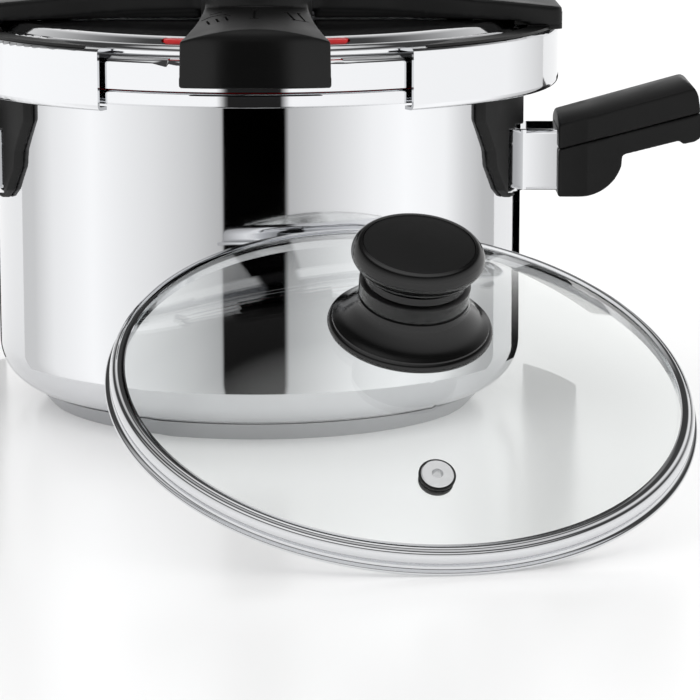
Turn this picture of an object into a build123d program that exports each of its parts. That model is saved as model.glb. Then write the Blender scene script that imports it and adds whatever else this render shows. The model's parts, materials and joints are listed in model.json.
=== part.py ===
from build123d import *
from math import asin, atan, cos, degrees, hypot, radians, sin, sqrt, tan
import os

os.makedirs("parts", exist_ok=True)

# ---------------------------------------------------------------- driving dimensions, mm
# pot: 22 cm across, about 5 litres
pot_r = 111.0            # outside radius of the wall
pot_wall = 1.0           # sheet thickness of wall and floor
corner_r = 20.0          # outside radius where wall meets floor
base_h = 7.2             # height of the sandwich base under the pot floor
cap_sheet = 0.7          # steel skin around the aluminium core
base_bottom_r = 90.4     # flat that stands on the hob
base_top_r = 96.2        # where the skin meets the pot
flange_r = 123.0         # rolled rim of the pot and skirt of the lid
flange_top = 144.2
flange_drop = 5.8        # height of the rolled edge
rim_sheet = 1.2
rim_gap = 0.4            # between the rolled rim and the lid skirt

# pressure lid
skirt_top = 156.1
lid_sheet = 1.4
bead_foot_r = 115.6      # foot of the raised bead
bead_foot_z = 158.0
bead_top_r = 112.2
bead_top_z = 161.6
deck_r = 104.5           # flat middle of the lid
deck_z = 163.9

# jaws
jaw_outer_r = 126.6
jaw_sheet = 1.4
jaw_low = 135.8
jaw_high = 160.2
jaw_lip_r = 120.0        # lip under the pot rim
jaw_top_r = 116.4        # flange over the lid skirt
jaw_half_angle = 60.8
jaw_travel = 9.0

# opening mechanism
cam_turn = 90.0          # knob turn from closed to open, degrees
cam_start_r = 12.0       # cam pin to spindle axis, closed
cam_plate_r = 30.0
cam_sheet = 2.0
arm_sheet = 1.8
arm_half = 11.0
pin_r = 2.5
spindle_r = 5.0

# bridge and front arm
bar_end_x = 126.0
bar_half = 38.0          # half width at the ends
waist_half = 28.0
bar_end_low = 162.0
bar_end_high = 169.5
bar_arch_low = 168.1
bar_arch_high = 176.6
bar_skin = 3.2
hub_r = 38.0
hub_top = 182.6
foot_half = 31.0
foot_low = 146.8
foot_r = 131.5
dial_y = -59.0
dial_r = 18.5
boss_r = 22.5
boss_top = 178.2

# handles: the pot stands turned a little under the lid
handle_turn = -1.0
strap_half = 15.5
strap_low = 90.4
strap_high = 116.3
strap_sheet = 1.5
grip_start = 126.0
grip_half = 21.5

# clearances
part_gap = 0.35          # between bodies that pass each other
run_gap = 0.06           # shaft in its bore
seat_gap = 0.15          # between mouldings fixed to each other

# glass lid that leans on the pot
glass_r = 109.6          # outside radius of the steel band
glass_tilt = 22.4        # from level
glass_turn = 12.3        # direction it leans, from the front towards +X
glass_aside = 9.3       # its centre stands this far beside that direction
collar_drop = 3.0
dome_rise = 29.0
glass_t = 3.6


# ---------------------------------------------------------------- helpers for places
def upright(angle):
    """Plane through the axis: local x runs outward at this angle, local y is up."""
    a = radians(angle)
    return Plane(origin=(0, 0, 0), x_dir=(cos(a), sin(a), 0), z_dir=(sin(a), -cos(a), 0))


def facing(angle, out):
    """Plane square to that direction: local x runs sideways, local y is up."""
    a = radians(angle)
    return Plane(origin=(out * cos(a), out * sin(a), 0), x_dir=(-sin(a), cos(a), 0),
                 z_dir=(cos(a), sin(a), 0))


def level(angle, z):
    """Level plane whose local x runs outward at this angle."""
    a = radians(angle)
    return Plane(origin=(0, 0, z), x_dir=(cos(a), sin(a), 0), z_dir=(0, 0, 1))


# ---------------------------------------------------------------- pot body
floor_in = base_h + pot_wall
wall_in = pot_r - pot_wall
throat = 2.0             # radius where the wall turns out into the rim
roll = 1.6
with BuildPart() as pot_body:
    with BuildSketch(Plane.XZ):
        with BuildLine():
            Line((0, base_h), (pot_r - corner_r, base_h))
            TangentArc((pot_r - corner_r, base_h), (pot_r, base_h + corner_r), tangent=(1, 0))
            Line((pot_r, base_h + corner_r), (pot_r, flange_top - rim_sheet - throat))
            TangentArc((pot_r, flange_top - rim_sheet - throat),
                       (pot_r + throat, flange_top - rim_sheet), tangent=(0, 1))
            Line((pot_r + throat, flange_top - rim_sheet),
                 (flange_r - rim_sheet, flange_top - rim_sheet))
            Line((flange_r - rim_sheet, flange_top - rim_sheet),
                 (flange_r - rim_sheet, flange_top - flange_drop))
            Line((flange_r - rim_sheet, flange_top - flange_drop),
                 (flange_r - 0.4, flange_top - flange_drop))
            ThreePointArc((flange_r - 0.4, flange_top - flange_drop),
                          (flange_r, flange_top - flange_drop / 2 - 0.8),
                          (flange_r - 0.2, flange_top - roll))
            ThreePointArc((flange_r - 0.2, flange_top - roll),
                          (flange_r - 0.75, flange_top - 0.45),
                          (flange_r - 1.9, flange_top))
            Line((flange_r - 1.9, flange_top), (wall_in + throat, flange_top))
            TangentArc((wall_in + throat, flange_top), (wall_in, flange_top - throat),
                       tangent=(-1, 0))
            Line((wall_in, flange_top - throat), (wall_in, base_h + corner_r))
            TangentArc((wall_in, base_h + corner_r), (pot_r - corner_r, floor_in),
                       tangent=(0, -1))
            Line((pot_r - corner_r, floor_in), (0, floor_in))
            Line((0, floor_in), (0, base_h))
        make_face()
    revolve(axis=Axis.Z)
pot_body.part.label = "pot_body"
export_step(pot_body.part, "parts/pot_body.step")

# ---------------------------------------------------------------- sandwich base
with BuildPart() as base_cap:
    with BuildSketch(Plane.XZ):
        with BuildLine():
            Polyline((0, 0), (base_bottom_r, 0), (base_top_r, base_h + 0.45),
                     (base_top_r - cap_sheet, base_h + 0.45),
                     (base_bottom_r - cap_sheet / 2, cap_sheet), (0, cap_sheet), close=True)
        rim_corner = make_face()
        fillet(rim_corner.vertices().sort_by(Axis.Z).filter_by(
            lambda v: abs(v.X - base_bottom_r) < 0.01), 1.6)
    revolve(axis=Axis.Z)
base_cap.part.label = "base_cap"
export_step(base_cap.part, "parts/base_cap.step")

with BuildPart() as base_core:
    with BuildSketch(Plane.XZ):
        Polygon((0, cap_sheet), (base_bottom_r - 1.8, cap_sheet), (base_top_r - 1.3, base_h),
                (0, base_h), align=None)
    revolve(axis=Axis.Z)
base_core.part.label = "base_core"
export_step(base_core.part, "parts/base_core.step")

# ---------------------------------------------------------------- handles
weld_gap = 0.05          # solder line between a welded foot and the wall
foot_sheet = 1.5
foot_reach = 47.6        # half width of the welded foot
foot_rise = 4.0          # its ends sit higher than the strap
cover_r = 114.6
cover_flat = 110.9
cover_reach = 66.4
cover_top = 135.4
strap_end = 146.0
seam_low, seam_high = (grip_start, 108.2), (187.0, 125.6)
screw_r = 2.0
head_r = 3.9
grip_screw_x = (133.0, 141.0)
crown = 4.4
grip_slope = 15.5

for side, turn in (("right", handle_turn), ("left", 180 + handle_turn)):
    with BuildPart() as bracket:
        with BuildSketch(facing(turn, pot_r - 9)):
            with Locations((0, (strap_low + strap_high) / 2)):
                RectangleRounded(2 * strap_half, strap_high - strap_low, 2.4)
                RectangleRounded(2 * (strap_half - strap_sheet),
                                 strap_high - strap_low - 2 * strap_sheet, 1.0,
                                 mode=Mode.SUBTRACT)
        extrude(amount=strap_end - pot_r + 9)
        with BuildSketch(facing(turn, pot_r - 20)):
            for way in (-1, 1):
                with BuildLine():
                    Polyline((way * (strap_half - 1.5), strap_low + 0.3),
                             (way * (strap_half - 1.5), strap_high - 0.3),
                             (way * foot_reach, strap_high + foot_rise),
                             (way * foot_reach, strap_low + foot_rise), close=True)
                make_face()
        extrude(amount=20 + weld_gap + foot_sheet + 0.3)
        with BuildSketch(Plane.XY.offset(strap_low - 5)):
            Circle(pot_r + weld_gap)
        extrude(amount=50, mode=Mode.SUBTRACT)
        with BuildSketch(Plane.XY.offset(strap_low - 5)):
            Circle(pot_r + 90)
            Circle(pot_r + weld_gap + foot_sheet, mode=Mode.SUBTRACT)
            with Locations(((pot_r + 30) * cos(radians(turn)), (pot_r + 30) * sin(radians(turn)))):
                Rectangle(120, 2 * strap_half + 0.02, rotation=turn, mode=Mode.SUBTRACT)
        extrude(amount=50, mode=Mode.SUBTRACT)
        with BuildSketch(level(turn, strap_low - 1)):
            with Locations(*[(x, 0) for x in grip_screw_x]):
                Circle(screw_r + 0.2)
        extrude(amount=strap_high - strap_low + 2, mode=Mode.SUBTRACT)
    bracket.part.label = f"handle_bracket_{side}"
    export_step(bracket.part, f"parts/handle_bracket_{side}.step")

    for way in (-1, 1):
        place = "front" if (way < 0) == (side == "right") else "rear"
        with BuildPart() as cover:
            with BuildSketch(level(turn, strap_low - 4)):
                Circle(cover_r)
                Circle(pot_r + weld_gap, mode=Mode.SUBTRACT)
                with Locations((cover_flat + 20, 0)):
                    Rectangle(40, 300, mode=Mode.SUBTRACT)
            extrude(amount=cover_top - strap_low + 4)
            with BuildSketch(facing(turn, pot_r - 40)):
                with BuildLine():
                    Polyline((way * 13.0, cover_top), (way * cover_reach, cover_top),
                             (way * cover_reach, 126.3), (way * 59.4, 113.0),
                             (way * 58.2, 106.0), (way * 51.2, 95.8), (way * 45.5, 92.0),
                             (way * 41.0, 92.4), (way * 41.0, 121.6), (way * 13.0, 119.0),
                             close=True)
                make_face()
            extrude(amount=60, mode=Mode.INTERSECT)
            with BuildSketch(facing(turn, pot_r - 40)):
                with BuildLine():
                    Polyline((way * (strap_half - 2), strap_low + 0.2),
                             (way * (strap_half - 2), strap_high + 0.5),
                             (way * (foot_reach + 0.2), strap_high + foot_rise + 0.3),
                             (way * (foot_reach + 0.2), strap_low + foot_rise - 0.3), close=True)
                make_face()
            extrude(amount=60, mode=Mode.SUBTRACT)
        cover.part.label = f"foot_cover_{side}_{place}"
        export_step(cover.part, f"parts/foot_cover_{side}_{place}.step")

    for half in ("upper", "lower"):
        lift = seat_gap / 2 if half == "upper" else -seat_gap / 2
        far = 200 if half == "upper" else 40
        with BuildPart() as grip:
            with BuildSketch(upright(turn)):
                with BuildLine():
                    Line((grip_start, 88.5), (135.0, 88.5))
                    TangentArc((135.0, 88.5), (152.6, 101.6), tangent=(1, 0))
                    Line((152.6, 101.6), (153.0, 106.3))
                    Line((153.0, 106.3), (176.6, 112.2))
                    Line((176.6, 112.2), (178.4, 110.8))
                    Line((178.4, 110.8), (182.0, 111.5))
                    TangentArc((182.0, 111.5), (186.6, 116.6), tangent=(0.98, 0.17))
                    Line((186.6, 116.6), (184.6, 130.2))
                    TangentArc((184.6, 130.2), (177.8, 137.4), tangent=(-0.17, 0.98))
                    Line((177.8, 137.4), (grip_start, 123.1))
                    Line((grip_start, 123.1), (grip_start, 88.5))
                make_face()
            extrude(amount=grip_half, both=True)
            slope = radians(grip_slope)
            start = upright(turn).from_local_coords((grip_start - 30, 123.1 - 30 * tan(slope), 0))
            run = upright(turn).from_local_coords((cos(slope), sin(slope), 0))
            with BuildSketch(Plane(origin=start, x_dir=facing(turn, 1).x_dir, z_dir=run)):
                with BuildLine():
                    ThreePointArc((-grip_half, -crown), (0, 0), (grip_half, -crown))
                    Polyline((grip_half, -crown), (grip_half, -90), (-grip_half, -90),
                             (-grip_half, -crown))
                make_face()
            extrude(amount=140, mode=Mode.INTERSECT)
            with BuildSketch(facing(turn, grip_start - 1)):
                with Locations((0, (strap_low + strap_high) / 2)):
                    RectangleRounded(2 * strap_half + 2 * seat_gap,
                                     strap_high - strap_low + 2 * seat_gap, 2.4)
            extrude(amount=strap_end - grip_start + 1 + seat_gap, mode=Mode.SUBTRACT)
            with BuildSketch(level(turn, strap_low - 10)):
                with Locations(*[(x, 0) for x in grip_screw_x]):
                    Circle(screw_r + 0.1)
            extrude(amount=strap_high - strap_low + 16, mode=Mode.SUBTRACT)
            with BuildSketch(level(turn, strap_low - 10)):
                with Locations(*[(x, 0) for x in grip_screw_x]):
                    Circle(head_r + 0.2)
            extrude(amount=10.6, mode=Mode.SUBTRACT)
            with BuildSketch(upright(turn)):
                Polygon((seam_low[0] - 1, seam_low[1] + lift), (seam_high[0] + 5, seam_high[1] + lift),
                        (seam_high[0] + 5, far), (seam_low[0] - 1, far), align=None)
            extrude(amount=60, both=True, mode=Mode.INTERSECT)
        grip.part.label = f"grip_{half}_{side}"
        export_step(grip.part, f"parts/grip_{half}_{side}.step")

with BuildPart() as grip_screws:
    for turn in (handle_turn, 180 + handle_turn):
        with BuildSketch(level(turn, strap_low - 0.7)):
            with Locations(*[(x, 0) for x in grip_screw_x]):
                Circle(head_r)
        extrude(amount=0.6)
        with BuildSketch(level(turn, strap_low - 0.2)):
            with Locations(*[(x, 0) for x in grip_screw_x]):
                Circle(screw_r)
        extrude(amount=strap_high - strap_low + 5)
grip_screws.part.label = "grip_screws"
export_step(grip_screws.part, "parts/grip_screws.step")

# ---------------------------------------------------------------- pressure lid
skirt_low = flange_top + rim_gap
window_mid_r = 107.0
window_width = 4.2
window_half = 35.0
side_window_r = 120.2
side_window_half = 33.0
valve_stem_r = 6.0
indicator_at = (34.0, 52.0)
safety_at = (-34.0, 52.0)
indicator_stem_r = 4.0
safety_stem_r = 5.0
with BuildPart() as lid_shell:
    with BuildSketch(Plane.XZ):
        with BuildLine():
            Line((0, deck_z), (deck_r - 2, deck_z))
            ThreePointArc((deck_r - 2, deck_z), (deck_r, deck_z - 0.25), (deck_r + 2, deck_z - 0.9))
            Line((deck_r + 2, deck_z - 0.9), (bead_top_r - 1.6, bead_top_z - 0.35))
            ThreePointArc((bead_top_r - 1.6, bead_top_z - 0.35), (bead_top_r, bead_top_z),
                          (bead_foot_r - 1.1, bead_top_z - 0.9))
            ThreePointArc((bead_foot_r - 1.1, bead_top_z - 0.9),
                          (bead_foot_r - 0.15, bead_foot_z + 1.4), (bead_foot_r, bead_foot_z))
            Line((bead_foot_r, bead_foot_z), (flange_r - 2.2, skirt_top + 0.4))
            ThreePointArc((flange_r - 2.2, skirt_top + 0.4), (flange_r - 0.6, skirt_top - 0.3),
                          (flange_r, skirt_top - 2.0))
            Line((flange_r, skirt_top - 2.0), (flange_r, skirt_low))
            Line((flange_r, skirt_low), (flange_r - lid_sheet, skirt_low))
            Line((flange_r - lid_sheet, skirt_low), (flange_r - lid_sheet, skirt_top - 2.2))
            Line((flange_r - lid_sheet, skirt_top - 2.2), (flange_r - lid_sheet - 1.2, skirt_top - 1.2))
            Line((flange_r - lid_sheet - 1.2, skirt_top - 1.2),
                 (bead_foot_r - lid_sheet, bead_foot_z - lid_sheet))
            Line((bead_foot_r - lid_sheet, bead_foot_z - lid_sheet),
                 (bead_top_r - 0.3, bead_top_z - lid_sheet))
            Line((bead_top_r - 0.3, bead_top_z - lid_sheet),
                 (bead_top_r - 1.6, bead_top_z - lid_sheet - 0.3))
            Line((bead_top_r - 1.6, bead_top_z - lid_sheet - 0.3), (deck_r, deck_z - lid_sheet))
            Line((deck_r, deck_z - lid_sheet), (0, deck_z - lid_sheet))
            Line((0, deck_z - lid_sheet), (0, deck_z))
        make_face()
    revolve(axis=Axis.Z)
    with BuildSketch(Plane.XY.offset(skirt_top - 2.4)):
        for mid_r, width, half in ((window_mid_r, window_width, window_half),
                                   (side_window_r, 2.2, side_window_half)):
            reach = degrees(asin(half / mid_r))
            SlotArc(CenterArc((0, 0), mid_r, -90 - reach, 2 * reach, mode=Mode.PRIVATE),
                    height=width, mode=Mode.ADD)
    extrude(amount=12, mode=Mode.SUBTRACT)
    with BuildSketch(Plane.XY.offset(skirt_top)):
        with Locations((0, dial_y)):
            Circle(valve_stem_r + seat_gap)
        with Locations(indicator_at):
            Circle(indicator_stem_r + seat_gap)
        with Locations(safety_at):
            Circle(safety_stem_r + seat_gap)
    extrude(amount=12, mode=Mode.SUBTRACT)
lid_shell.part.label = "lid_shell"
export_step(lid_shell.part, "parts/lid_shell.step")

# ---------------------------------------------------------------- lid gasket
gasket_section = [(119.8, 0.3), (121.3, 0.9), (121.3, 9.4), (113.9, 11.9), (111.6, 15.6), (110.2, 15.5),
                  (104.4, 17.7), (102.6, 17.2), (101.6, 15.0), (102.4, 12.0), (106.5, 11.0),
                  (115.0, 9.6), (117.4, 7.4), (115.0, 5.4), (106.0, 4.1), (103.6, 2.9),
                  (103.0, 1.5), (104.6, 1.1), (110.0, 1.7), (112.5, 0.2)]
with BuildPart() as gasket:
    with BuildSketch(Plane.XZ):
        Polygon(*[(r, flange_top + up) for r, up in gasket_section], align=None)
    revolve(axis=Axis.Z)
    # tongues that rise into the windows of the lid
    for mid_r, width, half, low, high in (
            (window_mid_r, window_width - 0.8, window_half - 0.6, 15.6, 18.9),
            (side_window_r, 1.4, side_window_half - 0.6, 9.0, 12.1)):
        reach = degrees(asin(half / mid_r))
        with BuildSketch(Plane.XY.offset(flange_top + low)):
            SlotArc(CenterArc((0, 0), mid_r, -90 - reach, 2 * reach, mode=Mode.PRIVATE), height=width)
        extrude(amount=high - low)
gasket.part.label = "gasket"
export_step(gasket.part, "parts/gasket.step")

# ---------------------------------------------------------------- jaws, their carriers and arms
carrier_big_x = -80.0    # centre and radius of the crescent's inner edge
carrier_big_r = 181.0
carrier_thin = 1.1
block_half = 34.4
block_in = 96.0
block_top = bar_end_high - 2.0 - part_gap
arm_low = deck_z + 0.3
arm_top = arm_low + arm_sheet
arm_out = 116.0
carrier_screw_at = ((106.0, 6.0), (106.0, -6.0))
for side, turn in (("right", 0), ("left", 180)):
    with BuildPart() as jaw:
        with BuildSketch(upright(turn - jaw_half_angle)):
            jaw_in = jaw_outer_r - jaw_sheet
            with BuildLine():
                Line((jaw_lip_r, jaw_low), (jaw_outer_r - 2.4, jaw_low))
                TangentArc((jaw_outer_r - 2.4, jaw_low), (jaw_outer_r, jaw_low + 2.4), tangent=(1, 0))
                Line((jaw_outer_r, jaw_low + 2.4), (jaw_outer_r, jaw_high - 2.0))
                TangentArc((jaw_outer_r, jaw_high - 2.0), (jaw_outer_r - 2.0, jaw_high),
                           tangent=(0, 1))
                Line((jaw_outer_r - 2.0, jaw_high), (jaw_top_r, jaw_high))
                Line((jaw_top_r, jaw_high), (jaw_top_r, jaw_high - jaw_sheet))
                Line((jaw_top_r, jaw_high - jaw_sheet), (jaw_outer_r - 2.0, jaw_high - jaw_sheet))
                TangentArc((jaw_outer_r - 2.0, jaw_high - jaw_sheet), (jaw_in, jaw_high - 2.0),
                           tangent=(1, 0))
                Line((jaw_in, jaw_high - 2.0), (jaw_in, jaw_low + 2.4))
                TangentArc((jaw_in, jaw_low + 2.4), (jaw_outer_r - 2.4, jaw_low + jaw_sheet),
                           tangent=(0, -1))
                Line((jaw_outer_r - 2.4, jaw_low + jaw_sheet), (jaw_lip_r, jaw_low + jaw_sheet))
                Line((jaw_lip_r, jaw_low + jaw_sheet), (jaw_lip_r, jaw_low))
            make_face()
        revolve(axis=Axis.Z, revolution_arc=2 * jaw_half_angle)
    jaw.part.label = f"jaw_{side}"
    export_step(jaw.part, f"parts/jaw_{side}.step")

    with BuildPart() as carrier:
        with BuildSketch(level(turn, jaw_high)):
            Circle(jaw_outer_r - 1.2)
            Circle(jaw_top_r + 0.2, mode=Mode.SUBTRACT)
            with Locations((carrier_big_x, 0)):
                Circle(carrier_big_r, mode=Mode.SUBTRACT)
            with Locations((-100, 0)):
                Rectangle(300, 300, mode=Mode.SUBTRACT)
        extrude(amount=carrier_thin)
        with BuildSketch(level(turn, jaw_high)):
            with Locations(((block_in + bar_end_x) / 2, 0)):
                RectangleRounded(bar_end_x - block_in, 2 * block_half, 3.5)
        extrude(amount=block_top - jaw_high)
        with BuildSketch(level(turn, jaw_high)):
            Circle(jaw_top_r + 0.2)
        extrude(amount=bead_top_z + 0.5 - jaw_high, mode=Mode.SUBTRACT)
        with BuildSketch(level(turn, jaw_high)):
            Circle(bead_top_r - 0.7)
        extrude(amount=arm_low - jaw_high, mode=Mode.SUBTRACT)
        with BuildSketch(level(turn, jaw_high)):
            with Locations((block_in, 0)):
                Rectangle(2 * (arm_out - block_in + seat_gap), 2 * (arm_half + seat_gap))
        extrude(amount=arm_top + seat_gap - jaw_high, mode=Mode.SUBTRACT)
        with BuildSketch(level(turn, arm_low)):
            with Locations(*carrier_screw_at):
                Circle(1.6)
        extrude(amount=6, mode=Mode.SUBTRACT)
    carrier.part.label = f"jaw_carrier_{side}"
    export_step(carrier.part, f"parts/jaw_carrier_{side}.step")

    with BuildPart() as arm:
        with BuildSketch(level(turn, arm_low)):
            with Locations(((cam_start_r - 6 + arm_out) / 2, 0)):
                RectangleRounded(arm_out - cam_start_r + 6, 2 * arm_half, 3)
            Circle(spindle_r + 1.0, mode=Mode.SUBTRACT)
            with Locations((cam_start_r, 0)):
                Circle(pin_r, mode=Mode.SUBTRACT)
            with Locations(*carrier_screw_at):
                Circle(1.6, mode=Mode.SUBTRACT)
        extrude(amount=arm_sheet)
    arm.part.label = f"slide_arm_{side}"
    export_step(arm.part, f"parts/slide_arm_{side}.step")

    with BuildPart() as cam_pin:
        with BuildSketch(level(turn, arm_low)):
            with Locations((cam_start_r, 0)):
                Circle(pin_r)
        extrude(amount=arm_sheet + part_gap + cam_sheet - 0.2)
    cam_pin.part.label = f"cam_pin_{side}"
    export_step(cam_pin.part, f"parts/cam_pin_{side}.step")

    with BuildPart() as carrier_screws:
        with BuildSketch(level(turn, arm_low)):
            with Locations(*carrier_screw_at):
                Circle(1.55)
        extrude(amount=block_top - arm_low - 0.3)
    carrier_screws.part.label = f"carrier_screws_{side}"
    export_step(carrier_screws.part, f"parts/carrier_screws_{side}.step")

# ---------------------------------------------------------------- bridge over the lid
stud_at = ((84.0, 20.0), (84.0, -20.0), (-84.0, 20.0), (-84.0, -20.0))
stud_r = 3.0
stud_high = 4.0
stud_screw_r = 1.6
screw_head_z = deck_z + stud_high + 1.8
screw_head_h = 2.6
column_r = 5.5
knob_boss_r = 13.0
collar_r = 17.0
cam_low = arm_top + part_gap
cam_top = cam_low + cam_sheet
hub_skin = 3.5
bar_rest = deck_z + 0.3  # underside over the flat of the lid
bar_flat_x = 100.0
arch_depth = 1.5         # how far the arch is cut into the long sides
with BuildPart() as hollow:
    with BuildSketch(Plane.XY.offset(bar_end_low - 2)):
        with BuildLine():
            inner_end = bar_half - bar_skin
            inner_waist = waist_half - bar_skin
            Line((0, inner_waist), (52, inner_waist))
            Spline((52, inner_waist), (104, inner_end), tangents=((1, 0), (1, 0)))
            Polyline((104, inner_end), (135, inner_end), (135, 0), (0, 0), (0, inner_waist))
        make_face()
        mirror(about=Plane.XZ)
        mirror(about=Plane.YZ)
    extrude(amount=30)
    with BuildSketch(Plane.XZ):
        with BuildLine():
            ThreePointArc((-135, bar_end_high - 2.6), (0, bar_arch_high - bar_skin),
                          (135, bar_end_high - 2.6))
            Polyline((135, bar_end_high - 2.6), (135, 150), (-135, 150), (-135, bar_end_high - 2.6))
        make_face()
    extrude(amount=60, both=True, mode=Mode.INTERSECT)
    with BuildSketch(Plane.XY.offset(bar_end_low - 2)):
        Circle(hub_r - hub_skin)
    extrude(amount=hub_top - hub_skin - bar_end_low + 2)
    with BuildSketch(Plane.XY.offset(cam_top + part_gap)):
        Circle(collar_r)
    extrude(amount=20, mode=Mode.SUBTRACT)
    with BuildSketch(Plane.XY.offset(arm_low)):
        with Locations(*stud_at):
            Circle(column_r)
    extrude(amount=20, mode=Mode.SUBTRACT)

# the outer face of each long side stops higher, in a shallow arch
with BuildPart() as arch_step:
    with BuildSketch(Plane.XY.offset(bar_rest - 1)):
        with BuildLine():
            Line((0, waist_half - arch_depth), (52, waist_half - arch_depth))
            Spline((52, waist_half - arch_depth), (104, bar_half - arch_depth), tangents=((1, 0), (1, 0)))
            Polyline((104, bar_half - arch_depth), (104, 60), (0, 60), (0, waist_half - arch_depth))
        make_face()
        mirror(about=Plane.XZ)
        mirror(about=Plane.YZ)
    extrude(amount=10)
    with BuildSketch(Plane.XZ):
        with BuildLine():
            ThreePointArc((bar_flat_x, bar_rest), (0, bar_arch_low), (-bar_flat_x, bar_rest))
            Polyline((-bar_flat_x, bar_rest), (-bar_flat_x, bar_rest - 2), (bar_flat_x, bar_rest - 2),
                     (bar_flat_x, bar_rest))
        make_face()
    extrude(amount=80, both=True, mode=Mode.INTERSECT)

with BuildPart() as crossbar:
    with BuildSketch(Plane.XY.offset(bar_end_low)):
        with BuildLine():
            Line((0, waist_half), (52, waist_half))
            Spline((52, waist_half), (104, bar_half), tangents=((1, 0), (1, 0)))
            Line((104, bar_half), (bar_end_x - 5, bar_half))
            TangentArc((bar_end_x - 5, bar_half), (bar_end_x, bar_half - 5), tangent=(1, 0))
            Polyline((bar_end_x, bar_half - 5), (bar_end_x, 0), (0, 0), (0, waist_half))
        make_face()
        mirror(about=Plane.XZ)
        mirror(about=Plane.YZ)
    extrude(amount=20)
    with BuildSketch(Plane.XZ):
        with BuildLine():
            ThreePointArc((-bar_end_x, bar_end_high), (0, bar_arch_high), (bar_end_x, bar_end_high))
            Line((bar_end_x, bar_end_high), (bar_end_x, bar_end_low))
            Polyline((bar_end_x, bar_end_low), (bead_top_r + 0.6, bar_end_low),
                     (deck_r + 1.0, bar_rest), (bar_flat_x, bar_rest))
            Polyline((bar_flat_x, bar_rest), (-deck_r - 1.0, bar_rest),
                     (-bead_top_r - 0.6, bar_end_low), (-bar_end_x, bar_end_low))
            Line((-bar_end_x, bar_end_low), (-bar_end_x, bar_end_high))
        make_face()
    extrude(amount=60, both=True, mode=Mode.INTERSECT)
    top_edges = crossbar.faces().sort_by(Axis.Z)[-1].edges()
    fillet(top_edges, 1.8)
    with BuildSketch(Plane.XY.offset(bar_arch_low - 0.8)):
        Circle(hub_r)
    extrude(amount=hub_top - bar_arch_low + 0.8)
    chamfer(crossbar.edges().filter_by(GeomType.CIRCLE).sort_by(Axis.Z)[-1], 2.4)
    add(hollow.part, mode=Mode.SUBTRACT)
    add(arch_step.part, mode=Mode.SUBTRACT)
    with BuildSketch(Plane.XY.offset(deck_z)):
        Circle(knob_boss_r + run_gap)
        with Locations(*stud_at):
            Circle(stud_screw_r + 0.2)
    extrude(amount=hub_top, mode=Mode.SUBTRACT)
    for low, tall in ((deck_z, stud_high + 0.2), (screw_head_z, 20)):
        with BuildSketch(Plane.XY.offset(low)):
            with Locations(*stud_at):
                Circle(stud_r + 0.15)
        extrude(amount=tall, mode=Mode.SUBTRACT)
crossbar.part.label = "crossbar"
export_step(crossbar.part, "parts/crossbar.step")

with BuildPart() as bar_screws:
    with BuildSketch(Plane.XY.offset(screw_head_z + 0.02)):
        with Locations(*stud_at):
            Circle(stud_r)
    extrude(amount=screw_head_h)
    with BuildSketch(Plane.XY.offset(arm_low + 1.2)):
        with Locations(*stud_at):
            Circle(stud_screw_r)
    extrude(amount=screw_head_z + 0.02 - arm_low - 1.2)
    with BuildSketch(Plane.XY.offset(screw_head_z + screw_head_h - 1.0)):
        with Locations(*stud_at):
            RegularPolygon(1.7, 6)
    extrude(amount=2, mode=Mode.SUBTRACT)
bar_screws.part.label = "bar_screws"
export_step(bar_screws.part, "parts/bar_screws.step")

with BuildPart() as lid_studs:
    with BuildSketch(Plane.XY.offset(deck_z)):
        with Locations(*stud_at):
            Circle(stud_r)
    extrude(amount=stud_high)
    with BuildSketch(Plane.XY.offset(arm_low + 1)):
        with Locations(*stud_at):
            Circle(stud_screw_r + 0.05)
    extrude(amount=8, mode=Mode.SUBTRACT)
lid_studs.part.label = "lid_studs"
export_step(lid_studs.part, "parts/lid_studs.step")

guide_x = 60.0
guide_wide = 10.0
guide_sheet = 1.2
with BuildPart() as guide_bridges:
    with BuildSketch(Plane.YZ.offset(guide_x - guide_wide / 2)):
        inner_half = arm_half + part_gap
        inner_top = arm_top + part_gap
        outer_half = inner_half + guide_sheet
        Polygon((-outer_half - 5, deck_z), (-outer_half - 5, deck_z + guide_sheet),
                (-outer_half, deck_z + guide_sheet), (-outer_half, inner_top + guide_sheet),
                (outer_half, inner_top + guide_sheet), (outer_half, deck_z + guide_sheet),
                (outer_half + 5, deck_z + guide_sheet), (outer_half + 5, deck_z),
                (inner_half, deck_z), (inner_half, inner_top), (-inner_half, inner_top),
                (-inner_half, deck_z), align=None)
    extrude(amount=guide_wide)
    mirror(about=Plane.YZ)
guide_bridges.part.label = "guide_bridges"
export_step(guide_bridges.part, "parts/guide_bridges.step")

# ---------------------------------------------------------------- spindle, cam and opening knob
knob_low = hub_top + part_gap
knob_disc = 6.5
knob_r = 27.0
wing_length = 47.0
wing_wide = 17.0
recess_r = 6.2
wing_top = knob_low + 19.0
drive_ring_r = 7.2       # pegs of the knob in the cam plate
drive_peg_r = 1.0
spindle_top = knob_low + 11.0
with BuildPart() as spindle:
    with BuildSketch(Plane.XY.offset(deck_z)):
        Circle(spindle_r)
    extrude(amount=spindle_top - deck_z)
    with BuildSketch(Plane.XY.offset(spindle_top - 14)):
        Circle(2.1)
    extrude(amount=14, mode=Mode.SUBTRACT)
spindle.part.label = "spindle"
export_step(spindle.part, "parts/spindle.step")

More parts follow.
